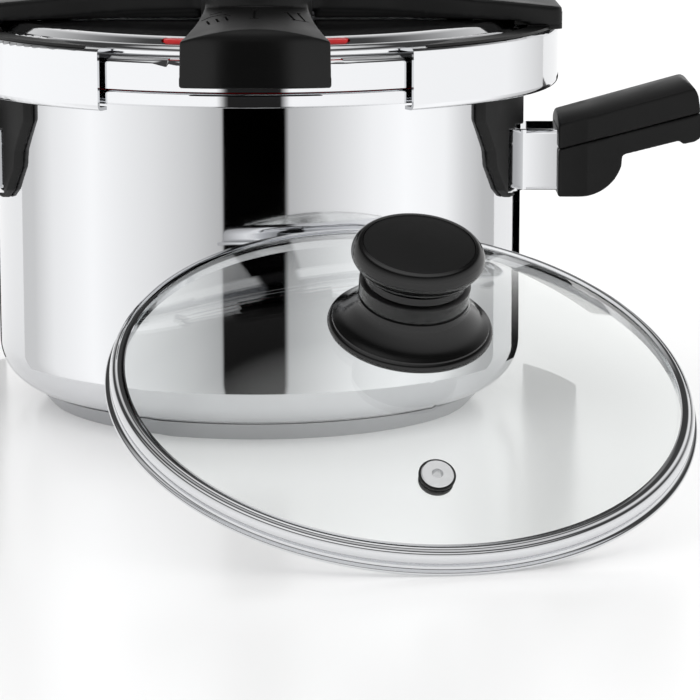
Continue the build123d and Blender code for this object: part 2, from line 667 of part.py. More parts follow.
with BuildPart() as spindle_screw:
    with BuildSketch(Plane.XY.offset(spindle_top - 12)):
        Circle(2.0)
    extrude(amount=12)
    with BuildSketch(Plane.XY.offset(spindle_top)):
        Circle(recess_r - 0.4)
    extrude(amount=1.0)
    with BuildSketch(Plane.XY.offset(spindle_top + 1.0)):
        Circle(4.2)
    extrude(amount=2.2)
    with BuildSketch(Plane.XY.offset(spindle_top + 1.6)):
        RegularPolygon(1.9, 6)
    extrude(amount=3, mode=Mode.SUBTRACT)
spindle_screw.part.label = "spindle_screw"
export_step(spindle_screw.part, "parts/spindle_screw.step")

# each slot is a spiral: turning the plate moves its pin outward evenly
spiral_rate = jaw_travel / radians(cam_turn)
slot_half = pin_r + part_gap
slot_over = 15.0         # run past the pin at both ends of its travel


def spiral(step, shift, flip):
    """Point of the slot wall at this turn of the plate, shift beside the pin's path."""
    turned = radians(step)
    r = cam_start_r + spiral_rate * turned
    size = hypot(spiral_rate, r)
    out = r + shift * r / size
    across = shift * spiral_rate / size
    return (flip * (out * cos(turned) + across * sin(turned)),
            flip * (-out * sin(turned) + across * cos(turned)))


steps = [-slot_over + i * (cam_turn + 2 * slot_over) / 12 for i in range(13)]
with BuildPart() as cam_plate:
    with BuildSketch(Plane.XY.offset(cam_low)):
        Circle(cam_plate_r)
        Circle(spindle_r + run_gap, mode=Mode.SUBTRACT)
        for flip in (1, -1):
            with BuildLine():
                Spline(*[spiral(t, slot_half, flip) for t in steps])
                Line(spiral(steps[-1], slot_half, flip), spiral(steps[-1], -slot_half, flip))
                Spline(*[spiral(t, -slot_half, flip) for t in reversed(steps)])
                Line(spiral(steps[0], -slot_half, flip), spiral(steps[0], slot_half, flip))
            make_face(mode=Mode.SUBTRACT)
        with PolarLocations(drive_ring_r, 4, start_angle=45):
            Circle(drive_peg_r, mode=Mode.SUBTRACT)
    extrude(amount=cam_sheet)
cam_plate.part.label = "cam_plate"
export_step(cam_plate.part, "parts/cam_plate.step")

with BuildPart() as opening_knob:
    with BuildSketch(Plane.XY.offset(knob_low)):
        Circle(knob_r)
    extrude(amount=knob_disc)
    fillet(opening_knob.edges().sort_by(Axis.Z)[-1], 2.5)
    with BuildSketch(Plane.XY.offset(knob_low + 1)):
        RectangleRounded(wing_length, wing_wide, wing_wide / 2 - 0.2)
    extrude(amount=wing_top - knob_low - 1)
    fillet(opening_knob.edges().group_by(Axis.Z)[-1], 2.4)
    with BuildSketch(Plane.XY.offset(cam_top)):
        Circle(knob_boss_r)
    extrude(amount=knob_low - cam_top)
    with BuildSketch(Plane.XY.offset(cam_low)):
        with PolarLocations(drive_ring_r, 4, start_angle=45):
            Circle(drive_peg_r)
    extrude(amount=cam_sheet)
    with BuildSketch(Plane.XY.offset(cam_low)):
        Circle(spindle_r + run_gap)
    extrude(amount=spindle_top - cam_low + 1, mode=Mode.SUBTRACT)
    with BuildSketch(Plane.XY.offset(spindle_top - part_gap)):
        Circle(recess_r)
    extrude(amount=30, mode=Mode.SUBTRACT)
opening_knob.part.label = "opening_knob"
export_step(opening_knob.part, "parts/opening_knob.step")

with BuildPart() as knob_cap:
    with BuildSketch(Plane.XY.offset(wing_top - 2.6)):
        Circle(recess_r - 0.05)
    extrude(amount=2.6)
    with BuildSketch(Plane.XY.offset(wing_top)):
        Circle(recess_r + 0.9)
    extrude(amount=0.9)
    fillet(knob_cap.edges().sort_by(Axis.Z)[-1], 0.6)
knob_cap.part.label = "knob_cap"
export_step(knob_cap.part, "parts/knob_cap.step")

# ---------------------------------------------------------------- front arm with its steam shield
arm_rest = deck_z + 0.3
shaft_r = 6.0
valve_top = deck_z + 10.2
valve_flange_r = 10.0
valve_body_r = 8.0
crest_r = 123.0
crest_z = 168.5
crown_drop = 5.6
shield_in = 124.3
with BuildPart() as front_arm:
    with BuildSketch(Plane.XY.offset(foot_low)):
        with BuildLine():
            Line((0, -28), (19, -28))
            Spline((19, -28), (20.6, -65), (23.2, -97), (25.8, -112), (foot_half - 2.0, -124.5))
            Line((foot_half - 2.0, -124.5), (foot_half, -140))
            Polyline((foot_half, -140), (0, -140), (0, -28))
        make_face()
        mirror(about=Plane.YZ)
        with Locations((0, dial_y)):
            Circle(boss_r)
    extrude(amount=50)
    with BuildSketch(upright(-140)):
        with BuildLine():
            Line((hub_r + seat_gap, arm_rest), (111.5, arm_rest))
            Line((111.5, arm_rest), (118.0, bead_top_z - 0.5))
            Line((118.0, bead_top_z - 0.5), (shield_in, bead_top_z - 2))
            Line((shield_in, bead_top_z - 2), (shield_in, foot_low))
            Line((shield_in, foot_low), (foot_r - 1.2, foot_low))
            TangentArc((foot_r - 1.2, foot_low), (foot_r, foot_low + 1.4), tangent=(1, 0))
            Line((foot_r, foot_low + 1.4), (foot_r - 2.2, crest_z - 4.6))
            TangentArc((foot_r - 2.2, crest_z - 4.6), (crest_r, crest_z + 1.4), tangent=(-0.1, 1))
            Line((crest_r, crest_z + 1.4), (hub_r + seat_gap, boss_top + 2))
            Line((hub_r + seat_gap, boss_top + 2), (hub_r + seat_gap, arm_rest))
        make_face()
    revolve(axis=Axis.Z, revolution_arc=100, mode=Mode.INTERSECT)
    fall = atan((boss_top - crest_z) / (crest_r + 12 - hub_r))
    with BuildSketch(Plane(origin=(0, -crest_r - 12, crest_z), x_dir=(-1, 0, 0),
                           z_dir=(0, cos(fall), sin(fall)))):
        with BuildLine():
            ThreePointArc((-foot_half, -crown_drop), (0, 0), (foot_half, -crown_drop))
            Polyline((foot_half, -crown_drop), (foot_half, -60), (-foot_half, -60),
                     (-foot_half, -crown_drop))
        make_face()
    extrude(amount=140, mode=Mode.INTERSECT)
    with BuildSketch(Plane.XY.offset(arm_rest)):
        with Locations((0, dial_y)):
            Circle(boss_r)
        Circle(hub_r + seat_gap, mode=Mode.SUBTRACT)
    extrude(amount=boss_top - arm_rest)
    with BuildSketch(Plane.XY.offset(foot_low - 1)):
        Circle(foot_r - 3.2)
        Circle(shield_in - 1, mode=Mode.SUBTRACT)
        with Locations((0, 60), (120 + foot_half - 4, 0), (-120 - foot_half + 4, 0)):
            Rectangle(240, 240, mode=Mode.SUBTRACT)
    extrude(amount=13, mode=Mode.SUBTRACT)
    with BuildSketch(Plane.XY.offset(deck_z)):
        with Locations((0, dial_y)):
            Circle(valve_body_r + seat_gap)
    extrude(amount=valve_top + 0.2 - deck_z, mode=Mode.SUBTRACT)
    with BuildSketch(Plane.XY.offset(deck_z)):
        with Locations((0, dial_y)):
            Circle(valve_flange_r + seat_gap)
    extrude(amount=2.3, mode=Mode.SUBTRACT)
    with BuildSketch(Plane.XY.offset(deck_z)):
        with Locations((0, dial_y)):
            Circle(shaft_r + run_gap)
    extrude(amount=20, mode=Mode.SUBTRACT)
front_arm.part.label = "front_arm"
export_step(front_arm.part, "parts/front_arm.step")

# ---------------------------------------------------------------- pressure valve under the dial
bore_r = 4.03
piston_r = bore_r - run_gap
nut_high = deck_z - lid_sheet
seat_z = deck_z - 4.4
with BuildPart() as valve_body:
    for low, high, r in ((seat_z - 3, deck_z, valve_stem_r), (deck_z, deck_z + 2, valve_flange_r),
                         (deck_z + 2, valve_top, valve_body_r)):
        with BuildSketch(Plane.XY.offset(low)):
            with Locations((0, dial_y)):
                Circle(r)
        extrude(amount=high - low)
    with BuildSketch(Plane.XY.offset(seat_z)):
        with Locations((0, dial_y)):
            Circle(bore_r)
    extrude(amount=20, mode=Mode.SUBTRACT)
    with BuildSketch(Plane.XY.offset(seat_z - 4)):
        with Locations((0, dial_y)):
            Circle(1.5)
    extrude(amount=5, mode=Mode.SUBTRACT)
valve_body.part.label = "valve_body"
export_step(valve_body.part, "parts/valve_body.step")

with BuildPart() as valve_nut:
    with BuildSketch(Plane.XY.offset(nut_high - 3.6)):
        with Locations((0, dial_y)):
            RegularPolygon(9.2, 6)
            Circle(valve_stem_r, mode=Mode.SUBTRACT)
    extrude(amount=3.6)
valve_nut.part.label = "valve_nut"
export_step(valve_nut.part, "parts/valve_nut.step")

with BuildPart() as valve_piston:
    with BuildSketch(Plane.XY.offset(seat_z + 0.3)):
        with Locations((0, dial_y)):
            Circle(piston_r)
    extrude(amount=4.3)
    with BuildSketch(Plane.XY.offset(seat_z - 1.2)):
        with Locations((0, dial_y)):
            Circle(1.2)
    extrude(amount=1.5)
valve_piston.part.label = "valve_piston"
export_step(valve_piston.part, "parts/valve_piston.step")

with BuildPart() as valve_spring:
    with BuildLine() as coil:
        Helix(pitch=2.1, height=8.4, radius=2.7, center=(0, dial_y, seat_z + 5.2))
    with BuildSketch(Plane(origin=coil.line @ 0, z_dir=coil.line % 0)):
        Circle(0.45)
    sweep(path=coil.line, is_frenet=True)
valve_spring.part.label = "valve_spring"
export_step(valve_spring.part, "parts/valve_spring.step")

# ---------------------------------------------------------------- pressure selector dial
dial_low = boss_top + part_gap
dial_high = dial_low + 9.0
grip_notches = 12
with BuildPart() as selector_dial:
    with BuildSketch(Plane.XY.offset(dial_low)):
        with Locations((0, dial_y)):
            Circle(dial_r)
            with PolarLocations(dial_r + 1.2, grip_notches, start_angle=15):
                Circle(2.4, mode=Mode.SUBTRACT)
    extrude(amount=dial_high - dial_low)
    chamfer(selector_dial.faces().sort_by(Axis.Z)[-1].edges(), 0.9)
    with BuildSketch(Plane.XY.offset(dial_high - 1)):
        with Locations((0, dial_y)):
            RectangleRounded(9, 2 * dial_r - 7, 4)
    extrude(amount=5.0)
    fillet(selector_dial.edges().group_by(Axis.Z)[-1], 1.6)
    with BuildSketch(Plane.XY.offset(dial_high + 3)):
        with Locations((0, dial_y - dial_r + 8.5)):
            Circle(1.4)
    extrude(amount=3, mode=Mode.SUBTRACT)
    with BuildSketch(Plane.XY.offset(valve_top + 0.1)):
        with Locations((0, dial_y)):
            Circle(shaft_r)
    extrude(amount=dial_low - valve_top - 0.1)
selector_dial.part.label = "selector_dial"
export_step(selector_dial.part, "parts/selector_dial.step")

# ---------------------------------------------------------------- pressure indicator
cap_rest = 0.35
housing_top = deck_z + 4.6
indicator_bore_r = 2.3
with BuildPart() as indicator_housing:
    with BuildSketch(Plane.XY.offset(deck_z)):
        with Locations(indicator_at):
            RegularPolygon(7.4, 6)
    extrude(amount=housing_top - deck_z)
    with BuildSketch(Plane.XY.offset(nut_high - 3.2)):
        with Locations(indicator_at):
            Circle(indicator_stem_r)
    extrude(amount=deck_z - nut_high + 3.2)
    with BuildSketch(Plane.XY.offset(nut_high - 4)):
        with Locations(indicator_at):
            Circle(indicator_bore_r)
    extrude(amount=20, mode=Mode.SUBTRACT)
indicator_housing.part.label = "indicator_housing"
export_step(indicator_housing.part, "parts/indicator_housing.step")

with BuildPart() as indicator_nut:
    with BuildSketch(Plane.XY.offset(nut_high - 2.8)):
        with Locations(indicator_at):
            RegularPolygon(6.9, 6)
            Circle(indicator_stem_r, mode=Mode.SUBTRACT)
    extrude(amount=2.8)
indicator_nut.part.label = "indicator_nut"
export_step(indicator_nut.part, "parts/indicator_nut.step")

pin_foot = nut_high - 10.8
with BuildPart() as indicator_pin:
    for low, high, r in ((pin_foot, pin_foot + 1.6, 3.6),
                         (pin_foot + 1.6, housing_top + cap_rest, indicator_bore_r - run_gap),
                         (housing_top + cap_rest, housing_top + cap_rest + 2.2, 3.6)):
        with BuildSketch(Plane.XY.offset(low)):
            with Locations(indicator_at):
                Circle(r)
        extrude(amount=high - low)
    fillet(indicator_pin.edges().sort_by(Axis.Z)[-1], 0.9)
indicator_pin.part.label = "indicator_pin"
export_step(indicator_pin.part, "parts/indicator_pin.step")

with BuildPart() as indicator_seal:
    with BuildSketch(Plane.XY.offset(pin_foot + 1.6)):
        with Locations(indicator_at):
            Circle(3.6)
            Circle(indicator_bore_r - run_gap, mode=Mode.SUBTRACT)
    extrude(amount=1.3)
indicator_seal.part.label = "indicator_seal"
export_step(indicator_seal.part, "parts/indicator_seal.step")

# ---------------------------------------------------------------- safety valve
safety_top = deck_z + 9.2
safety_bore_r = 3.03
safety_seat = deck_z - 3.2
with BuildPart() as safety_body:
    with BuildSketch(Plane.XY.offset(deck_z)):
        with Locations(safety_at):
            RegularPolygon(9.0, 6)
    extrude(amount=3.2)
    for low, high, r in ((nut_high - 3.6, deck_z, safety_stem_r), (deck_z + 3.2, safety_top, 7.0)):
        with BuildSketch(Plane.XY.offset(low)):
            with Locations(safety_at):
                Circle(r)
        extrude(amount=high - low)
    with BuildSketch(Plane.XY.offset(safety_seat)):
        with Locations(safety_at):
            Circle(safety_bore_r)
    extrude(amount=20, mode=Mode.SUBTRACT)
    with BuildSketch(Plane.XY.offset(nut_high - 4)):
        with Locations(safety_at):
            Circle(1.2)
    extrude(amount=5, mode=Mode.SUBTRACT)
safety_body.part.label = "safety_body"
export_step(safety_body.part, "parts/safety_body.step")

with BuildPart() as safety_nut:
    with BuildSketch(Plane.XY.offset(nut_high - 3.0)):
        with Locations(safety_at):
            RegularPolygon(8.0, 6)
            Circle(safety_stem_r, mode=Mode.SUBTRACT)
    extrude(amount=3.0)
safety_nut.part.label = "safety_nut"
export_step(safety_nut.part, "parts/safety_nut.step")

with BuildPart() as safety_poppet:
    with BuildSketch(Plane.XY.offset(safety_seat + 0.3)):
        with Locations(safety_at):
            Circle(safety_bore_r - run_gap)
    extrude(amount=3.6)
    with BuildSketch(Plane.XY.offset(safety_seat - 0.9)):
        with Locations(safety_at):
            Circle(0.9)
    extrude(amount=1.2)
safety_poppet.part.label = "safety_poppet"
export_step(safety_poppet.part, "parts/safety_poppet.step")

with BuildPart() as safety_spring:
    with BuildLine() as coil:
        Helix(pitch=1.6, height=4.8, radius=2.1, center=(*safety_at, safety_seat + 4.5))
    with BuildSketch(Plane(origin=coil.line @ 0, z_dir=coil.line % 0)):
        Circle(0.38)
    sweep(path=coil.line, is_frenet=True)
safety_spring.part.label = "safety_spring"
export_step(safety_spring.part, "parts/safety_spring.step")

with BuildPart() as safety_plug:
    with BuildSketch(Plane.XY.offset(safety_top - 2.6)):
        with Locations(safety_at):
            Circle(safety_bore_r)
    extrude(amount=2.6)
    with BuildSketch(Plane.XY.offset(safety_top)):
        with Locations(safety_at):
            Circle(5.2)
    extrude(amount=1.6)
    with BuildSketch(Plane.XY.offset(safety_top + 0.8)):
        with Locations(safety_at):
            Rectangle(14, 1.4)
    extrude(amount=2, mode=Mode.SUBTRACT)
safety_plug.part.label = "safety_plug"
export_step(safety_plug.part, "parts/safety_plug.step")

# ---------------------------------------------------------------- glass lid leaning on the pot
lean = radians(glass_turn)
tilt = radians(glass_tilt)
out_way = Vector(sin(lean), -cos(lean), 0)
side_way = Vector(cos(lean), sin(lean), 0)
down_way = out_way * cos(tilt) - Vector(0, 0, 1) * sin(tilt)
lid_axis = out_way * sin(tilt) + Vector(0, 0, 1) * cos(tilt)
lid_high = (glass_r - 0.5) * sin(tilt) + collar_drop * cos(tilt)
lid_out = 2 * glass_r
# slide the band towards the pot until its edge just clears the wall
for closer in range(8):
    edge = [out_way * lid_out + side_way * glass_aside + down_way * (glass_r * cos(radians(a)))
            + side_way * (glass_r * sin(radians(a))) - lid_axis * collar_drop for a in range(360)]
    lid_out -= min(hypot(p.X, p.Y) for p in edge) - pot_r - part_gap
lid_mid = out_way * lid_out + side_way * glass_aside + Vector(0, 0, lid_high)
lid_line = Axis(lid_mid, lid_axis)
lid_side = Plane(origin=lid_mid, x_dir=down_way, z_dir=down_way.cross(lid_axis))
lid_flat = Plane(origin=lid_mid, x_dir=down_way, z_dir=lid_axis)
dome_edge_r = glass_r - 4.6
dome_low = 0.6
band_gap = 0.1           # sealant between glass and band
knob_hole_r = 4.0
vent_at = 76.5           # down the slope from the middle
vent_aside = -7.0
vent_hole_r = 5.0
dome_r = (dome_edge_r ** 2 + (dome_rise - dome_low - glass_t) ** 2) / (2 * (dome_rise - dome_low - glass_t))
dome_mid_h = dome_rise - dome_r


def dome_height(r):
    """Height of the dome's upper face at this distance from its axis."""
    return dome_mid_h + sqrt(dome_r ** 2 - r ** 2)


vent_r = hypot(vent_at, vent_aside)
vent_way = down_way * (vent_at / vent_r) + side_way * (vent_aside / vent_r)
vent_slope = asin(vent_r / dome_r)
vent_axis = vent_way * sin(vent_slope) + lid_axis * cos(vent_slope)
vent_mid = lid_mid + vent_way * vent_r + lid_axis * dome_height(vent_r)
vent_flat = Plane(origin=vent_mid, x_dir=vent_way * cos(vent_slope) - lid_axis * sin(vent_slope),
                  z_dir=vent_axis)
vent_side = Plane(origin=vent_mid, x_dir=vent_flat.x_dir, z_dir=vent_flat.x_dir.cross(vent_axis))
vent_line = Axis(vent_mid, vent_axis)
with BuildPart() as glass_dome:
    with BuildSketch(lid_side):
        with BuildLine():
            top_edge = dome_height(dome_edge_r)
            ThreePointArc((0, dome_rise), (dome_edge_r / 2, dome_height(dome_edge_r / 2)),
                          (dome_edge_r, top_edge))
            Line((dome_edge_r, top_edge), (dome_edge_r, top_edge - glass_t))
            ThreePointArc((dome_edge_r, top_edge - glass_t),
                          (dome_edge_r / 2, dome_height(dome_edge_r / 2) - glass_t),
                          (0, dome_rise - glass_t))
            Line((0, dome_rise - glass_t), (0, dome_rise))
        make_face()
    revolve(axis=lid_line)
    with BuildSketch(lid_flat):
        Circle(knob_hole_r + 0.3)
    extrude(amount=dome_rise + 5, mode=Mode.SUBTRACT)
    with BuildSketch(vent_flat):
        Circle(vent_hole_r)
    extrude(amount=10, both=True, mode=Mode.SUBTRACT)
glass_dome.part.label = "glass_dome"
export_step(glass_dome.part, "parts/glass_dome.step")

with BuildPart() as glass_band:
    with BuildSketch(lid_side):
        with BuildLine():
            edge_low = top_edge - glass_t
            Line((dome_edge_r - 2.6, -collar_drop), (glass_r - 0.6, -collar_drop))
            ThreePointArc((glass_r - 0.6, -collar_drop), (glass_r, -collar_drop + 0.7),
                          (glass_r - 0.5, -collar_drop + 1.5))
            Line((glass_r - 0.5, -collar_drop + 1.5), (dome_edge_r + 2.6, -collar_drop + 1.9))
            Line((dome_edge_r + 2.6, -collar_drop + 1.9), (dome_edge_r + 2.2, edge_low + 0.6))
            ThreePointArc((dome_edge_r + 2.2, edge_low + 0.6), (dome_edge_r + 2.5, edge_low + 1.9),
                          (dome_edge_r + 2.0, top_edge - 0.6))
            ThreePointArc((dome_edge_r + 2.0, top_edge - 0.6), (dome_edge_r + 1.2, top_edge + 1.0),
                          (dome_edge_r - 0.4, top_edge + 1.5))
            Line((dome_edge_r - 0.4, top_edge + 1.5),
                 (dome_edge_r - 2.6, dome_height(dome_edge_r - 2.6) + 1.0))
            Line((dome_edge_r - 2.6, dome_height(dome_edge_r - 2.6) + 1.0),
                 (dome_edge_r - 2.6, dome_height(dome_edge_r - 2.6) + band_gap))
            Line((dome_edge_r - 2.6, dome_height(dome_edge_r - 2.6) + band_gap),
                 (dome_edge_r + band_gap, top_edge + band_gap))
            Line((dome_edge_r + band_gap, top_edge + band_gap), (dome_edge_r + band_gap, edge_low - band_gap))
            Line((dome_edge_r + band_gap, edge_low - band_gap),
                 (dome_edge_r - 2.6, dome_height(dome_edge_r - 2.6) - glass_t - 0.9))
            Line((dome_edge_r - 2.6, dome_height(dome_edge_r - 2.6) - glass_t - 0.9),
                 (dome_edge_r - 2.6, -collar_drop))
        make_face()
    revolve(axis=lid_line)
glass_band.part.label = "glass_band"
export_step(glass_band.part, "parts/glass_band.step")

# ---------------------------------------------------------------- knob of the glass lid
rose_r = 30.3
rose_low = dome_height(rose_r)
neck_z = dome_rise + 18.0
top_z = dome_rise + 35.0
with BuildPart() as glass_knob_base:
    with BuildSketch(lid_side):
        with BuildLine():
            Line((0, dome_rise + 0.05), (3.0, dome_rise + 0.05))
            ThreePointArc((3.0, dome_rise + 0.05), (18.0, dome_height(18.0) + 0.05),
                          (rose_r - 1.0, dome_height(rose_r - 1.0) + 0.05))
            Line((rose_r - 1.0, dome_height(rose_r - 1.0) + 0.05), (rose_r, rose_low + 0.8))
            ThreePointArc((rose_r, rose_low + 0.8), (rose_r - 0.2, rose_low + 2.4),
                          (rose_r - 1.4, rose_low + 3.2))
            Spline((rose_r - 1.4, rose_low + 3.2), (24.5, rose_low + 6.6), (21.0, dome_rise + 9.0),
                   (20.2, dome_rise + 12.4), tangents=((-1, 0.22), (0, 1)))
            Line((20.2, dome_rise + 12.4), (19.4, dome_rise + 12.7))
            Line((19.4, dome_rise + 12.7), (19.4, dome_rise + 13.1))
            Line((19.4, dome_rise + 13.1), (20.2, dome_rise + 13.4))
            Line((20.2, dome_rise + 13.4), (20.2, neck_z))
            Line((20.2, neck_z), (17.0, neck_z + 0.8))
            Line((17.0, neck_z + 0.8), (16.0, top_z - 11.6))
            Line((16.0, top_z - 11.6), (0, top_z - 11.6))
            Line((0, top_z - 11.6), (0, dome_rise + 0.05))
        make_face()
    revolve(axis=lid_line)
    with BuildSketch(lid_flat.offset(dome_rise - 2)):
        Circle(2.1)
    extrude(amount=17, mode=Mode.SUBTRACT)
glass_knob_base.part.label = "glass_knob_base"
export_step(glass_knob_base.part, "parts/glass_knob_base.step")

with BuildPart() as glass_knob_top:
    with BuildSketch(lid_side):
        with BuildLine():
            Line((0, top_z - 11.6), (16.5, top_z - 11.6))
            Line((16.5, top_z - 11.6), (21.6, top_z - 9.9))
            Line((21.6, top_z - 9.9), (22.4, top_z - 9.0))
            Spline((22.4, top_z - 9.0), (24.3, top_z - 5.8), (23.2, top_z - 2.4),
                   (20.4, top_z - 1.0), tangents=((0.75, 0.65), (-1, 0.28)))
            Spline((20.4, top_z - 1.0), (12.0, top_z - 0.5), (0, top_z),
                   tangents=((-1, 0.28), (-1, 0)))
            Line((0, top_z), (0, top_z - 11.6))
        make_face()
    revolve(axis=lid_line)
glass_knob_top.part.label = "glass_knob_top"
export_step(glass_knob_top.part, "parts/glass_knob_top.step")

with BuildPart() as glass_knob_screw:
    with BuildSketch(lid_flat.offset(dome_rise - glass_t - 1.4)):
        Circle(2.0)
    extrude(amount=17.0)
    with BuildSketch(lid_flat.offset(dome_rise - glass_t - 4.0)):
        Circle(4.4)
        RegularPolygon(1.6, 6, mode=Mode.SUBTRACT)
    extrude(amount=2.6)
glass_knob_screw.part.label = "glass_knob_screw"
export_step(glass_knob_screw.part, "parts/glass_knob_screw.step")

with BuildPart() as glass_knob_washer:
    with BuildSketch(lid_flat.offset(dome_rise - glass_t - 1.35)):
        Circle(8.0)
        Circle(2.2, mode=Mode.SUBTRACT)
    extrude(amount=1.0)
glass_knob_washer.part.label = "glass_knob_washer"
export_step(glass_knob_washer.part, "parts/glass_knob_washer.step")

# ---------------------------------------------------------------- steam vent of the glass lid
with BuildPart() as vent_grommet:
    with BuildSketch(vent_side):
        Polygon((2.7, 0.7), (6.6, 0.7), (6.6, 0.08), (4.4, 0.08), (4.4, -glass_t - 0.2),
                (6.2, -glass_t - 0.2), (6.2, -glass_t - 1.0), (2.7, -glass_t - 1.0), align=None)
    revolve(axis=vent_line)
vent_grommet.part.label = "vent_grommet"
export_step(vent_grommet.part, "parts/vent_grommet.step")

with BuildPart() as vent_eyelet:
    with BuildSketch(vent_side):
        Polygon((2.0, 1.5), (5.4, 1.5), (5.8, 1.1), (5.4, 0.75), (2.65, 0.75), (2.65, -glass_t - 1.05),
                (5.0, -glass_t - 1.05), (5.0, -glass_t - 1.6), (2.0, -glass_t - 1.6), align=None)
    revolve(axis=vent_line)
vent_eyelet.part.label = "vent_eyelet"
export_step(vent_eyelet.part, "parts/vent_eyelet.step")
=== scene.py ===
# %% [markdown]
# # Steel pressure cooker with its glass lid
# A five-litre pot with a sliding jaw lock, a black bridge and pressure arm over its lid, two side
# grips, and a second lid of glass that leans on its wall. The frame holds every moving body. The
# big round pieces are turned afresh from their outlines, the mouldings get soft edges, and each
# surface gets the finish that its maker gave it.

# %% The frame
import json
import math

import bmesh
import bpy
from mathutils import Matrix, Vector

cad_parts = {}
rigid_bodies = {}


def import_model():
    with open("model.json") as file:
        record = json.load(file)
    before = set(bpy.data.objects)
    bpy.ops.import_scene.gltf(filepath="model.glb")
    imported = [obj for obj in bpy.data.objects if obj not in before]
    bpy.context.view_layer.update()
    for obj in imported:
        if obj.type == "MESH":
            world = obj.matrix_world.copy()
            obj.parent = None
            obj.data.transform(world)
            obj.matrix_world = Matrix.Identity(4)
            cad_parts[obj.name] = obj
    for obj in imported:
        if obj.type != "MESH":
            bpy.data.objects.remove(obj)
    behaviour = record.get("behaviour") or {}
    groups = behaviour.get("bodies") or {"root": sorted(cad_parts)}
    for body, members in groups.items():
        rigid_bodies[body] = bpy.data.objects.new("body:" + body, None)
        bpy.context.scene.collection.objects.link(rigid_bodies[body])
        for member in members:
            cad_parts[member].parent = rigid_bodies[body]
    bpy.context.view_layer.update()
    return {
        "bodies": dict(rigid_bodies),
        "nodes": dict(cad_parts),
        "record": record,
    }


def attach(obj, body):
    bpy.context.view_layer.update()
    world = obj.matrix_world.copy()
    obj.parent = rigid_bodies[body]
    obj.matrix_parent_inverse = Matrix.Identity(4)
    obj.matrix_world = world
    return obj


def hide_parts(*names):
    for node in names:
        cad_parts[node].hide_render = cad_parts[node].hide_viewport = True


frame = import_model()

MM = 0.001
scene = bpy.context.scene

# %% [markdown]
# Two helpers serve the whole lesson. One turns the colour of a paint chip into the linear light
# that a shader needs, and one adds a node with its settings and links.

# %% Helpers
def linear(code, alpha=1.0):
    """Linear red, green, blue and alpha of an sRGB hex colour."""
    parts = [int(code[i:i + 2], 16) / 255 for i in (1, 3, 5)]
    return [p / 12.92 if p <= 0.04045 else ((p + 0.055) / 1.055) ** 2.4 for p in parts] + [alpha]


def add(tree, kind, inputs=None, **settings):
    """One node of a tree. An input takes a value, or another node's output to link."""
    made = tree.nodes.new(kind)
    for key, value in settings.items():
        setattr(made, key, value)
    for key, value in (inputs or {}).items():
        if isinstance(value, bpy.types.NodeSocket):
            tree.links.new(value, made.inputs[key])
        else:
            made.inputs[key].default_value = value
    return made


# %% [markdown]
# ## Steel
# Polished stainless sheet is buffed until it works as a mirror. The buff leaves a haze that comes
# and goes over a few centimetres, and the drawn sheet is never quite flat, so lines reflected in
# it waver a little. That is what tells the eye it is thin metal and not chrome on plastic.

# %% Polished steel
def principled(name, **inputs):
    """A new material with one Principled shader, its tree and that shader."""
    made = bpy.data.materials.new(name)
    made.use_nodes = True
    shader = made.node_tree.nodes["Principled BSDF"]
    for key, value in inputs.items():
        shader.inputs[key.replace("_", " ")].default_value = value
    return made, made.node_tree, shader


mirror_steel, tree, shader = principled("stainless steel, buffed to a mirror",
                                        Base_Color=linear("#dcdddf"), Metallic=1.0)
place = add(tree, "ShaderNodeTexCoord").outputs["Object"]
haze = add(tree, "ShaderNodeTexNoise", {"Vector": place, "Scale": 34.0, "Detail": 3.0})
rough = add(tree, "ShaderNodeMapRange", {"Value": haze.outputs["Fac"], "From Min": 0.3, "From Max": 0.7,
                                         "To Min": 0.045, "To Max": 0.075})
tree.links.new(rough.outputs["Result"], shader.inputs["Roughness"])
waver = add(tree, "ShaderNodeTexNoise", {"Vector": place, "Scale": 16.0, "Detail": 1.0})
press = add(tree, "ShaderNodeBump", {"Height": waver.outputs["Fac"], "Strength": 0.06, "Distance": 0.0004})
tree.links.new(press.outputs["Normal"], shader.inputs["Normal"])

# %% [markdown]
# The base skin is turned on a lathe with a fine abrasive after it is pressed on. Its rings are a
# few tenths of a millimetre apart and run round the pot, which spreads every highlight sideways
# into a grey satin.

# %% Satin steel
satin_steel, tree, shader = principled("stainless steel, satin turned", Base_Color=linear("#b9babc"),
                                       Metallic=1.0, Roughness=0.3, Anisotropic=0.4)
place = add(tree, "ShaderNodeTexCoord").outputs["Object"]
flat = add(tree, "ShaderNodeVectorMath", {0: place, 1: (1.0, 1.0, 0.0)}, operation="MULTIPLY")
reach = add(tree, "ShaderNodeVectorMath", {0: flat.outputs[0]}, operation="LENGTH")
rings = add(tree, "ShaderNodeTexNoise", {"W": reach.outputs["Value"], "Scale": 2600.0, "Detail": 2.0},
            noise_dimensions="1D")
groove = add(tree, "ShaderNodeBump", {"Height": rings.outputs["Fac"], "Strength": 0.25, "Distance": 0.0001})
tree.links.new(groove.outputs["Normal"], shader.inputs["Normal"])

# %% [markdown]
# Small parts are stamped or turned and then tumbled, which leaves them brighter than the sheet
# they came from but not mirrors. Springs and screws share this finish.

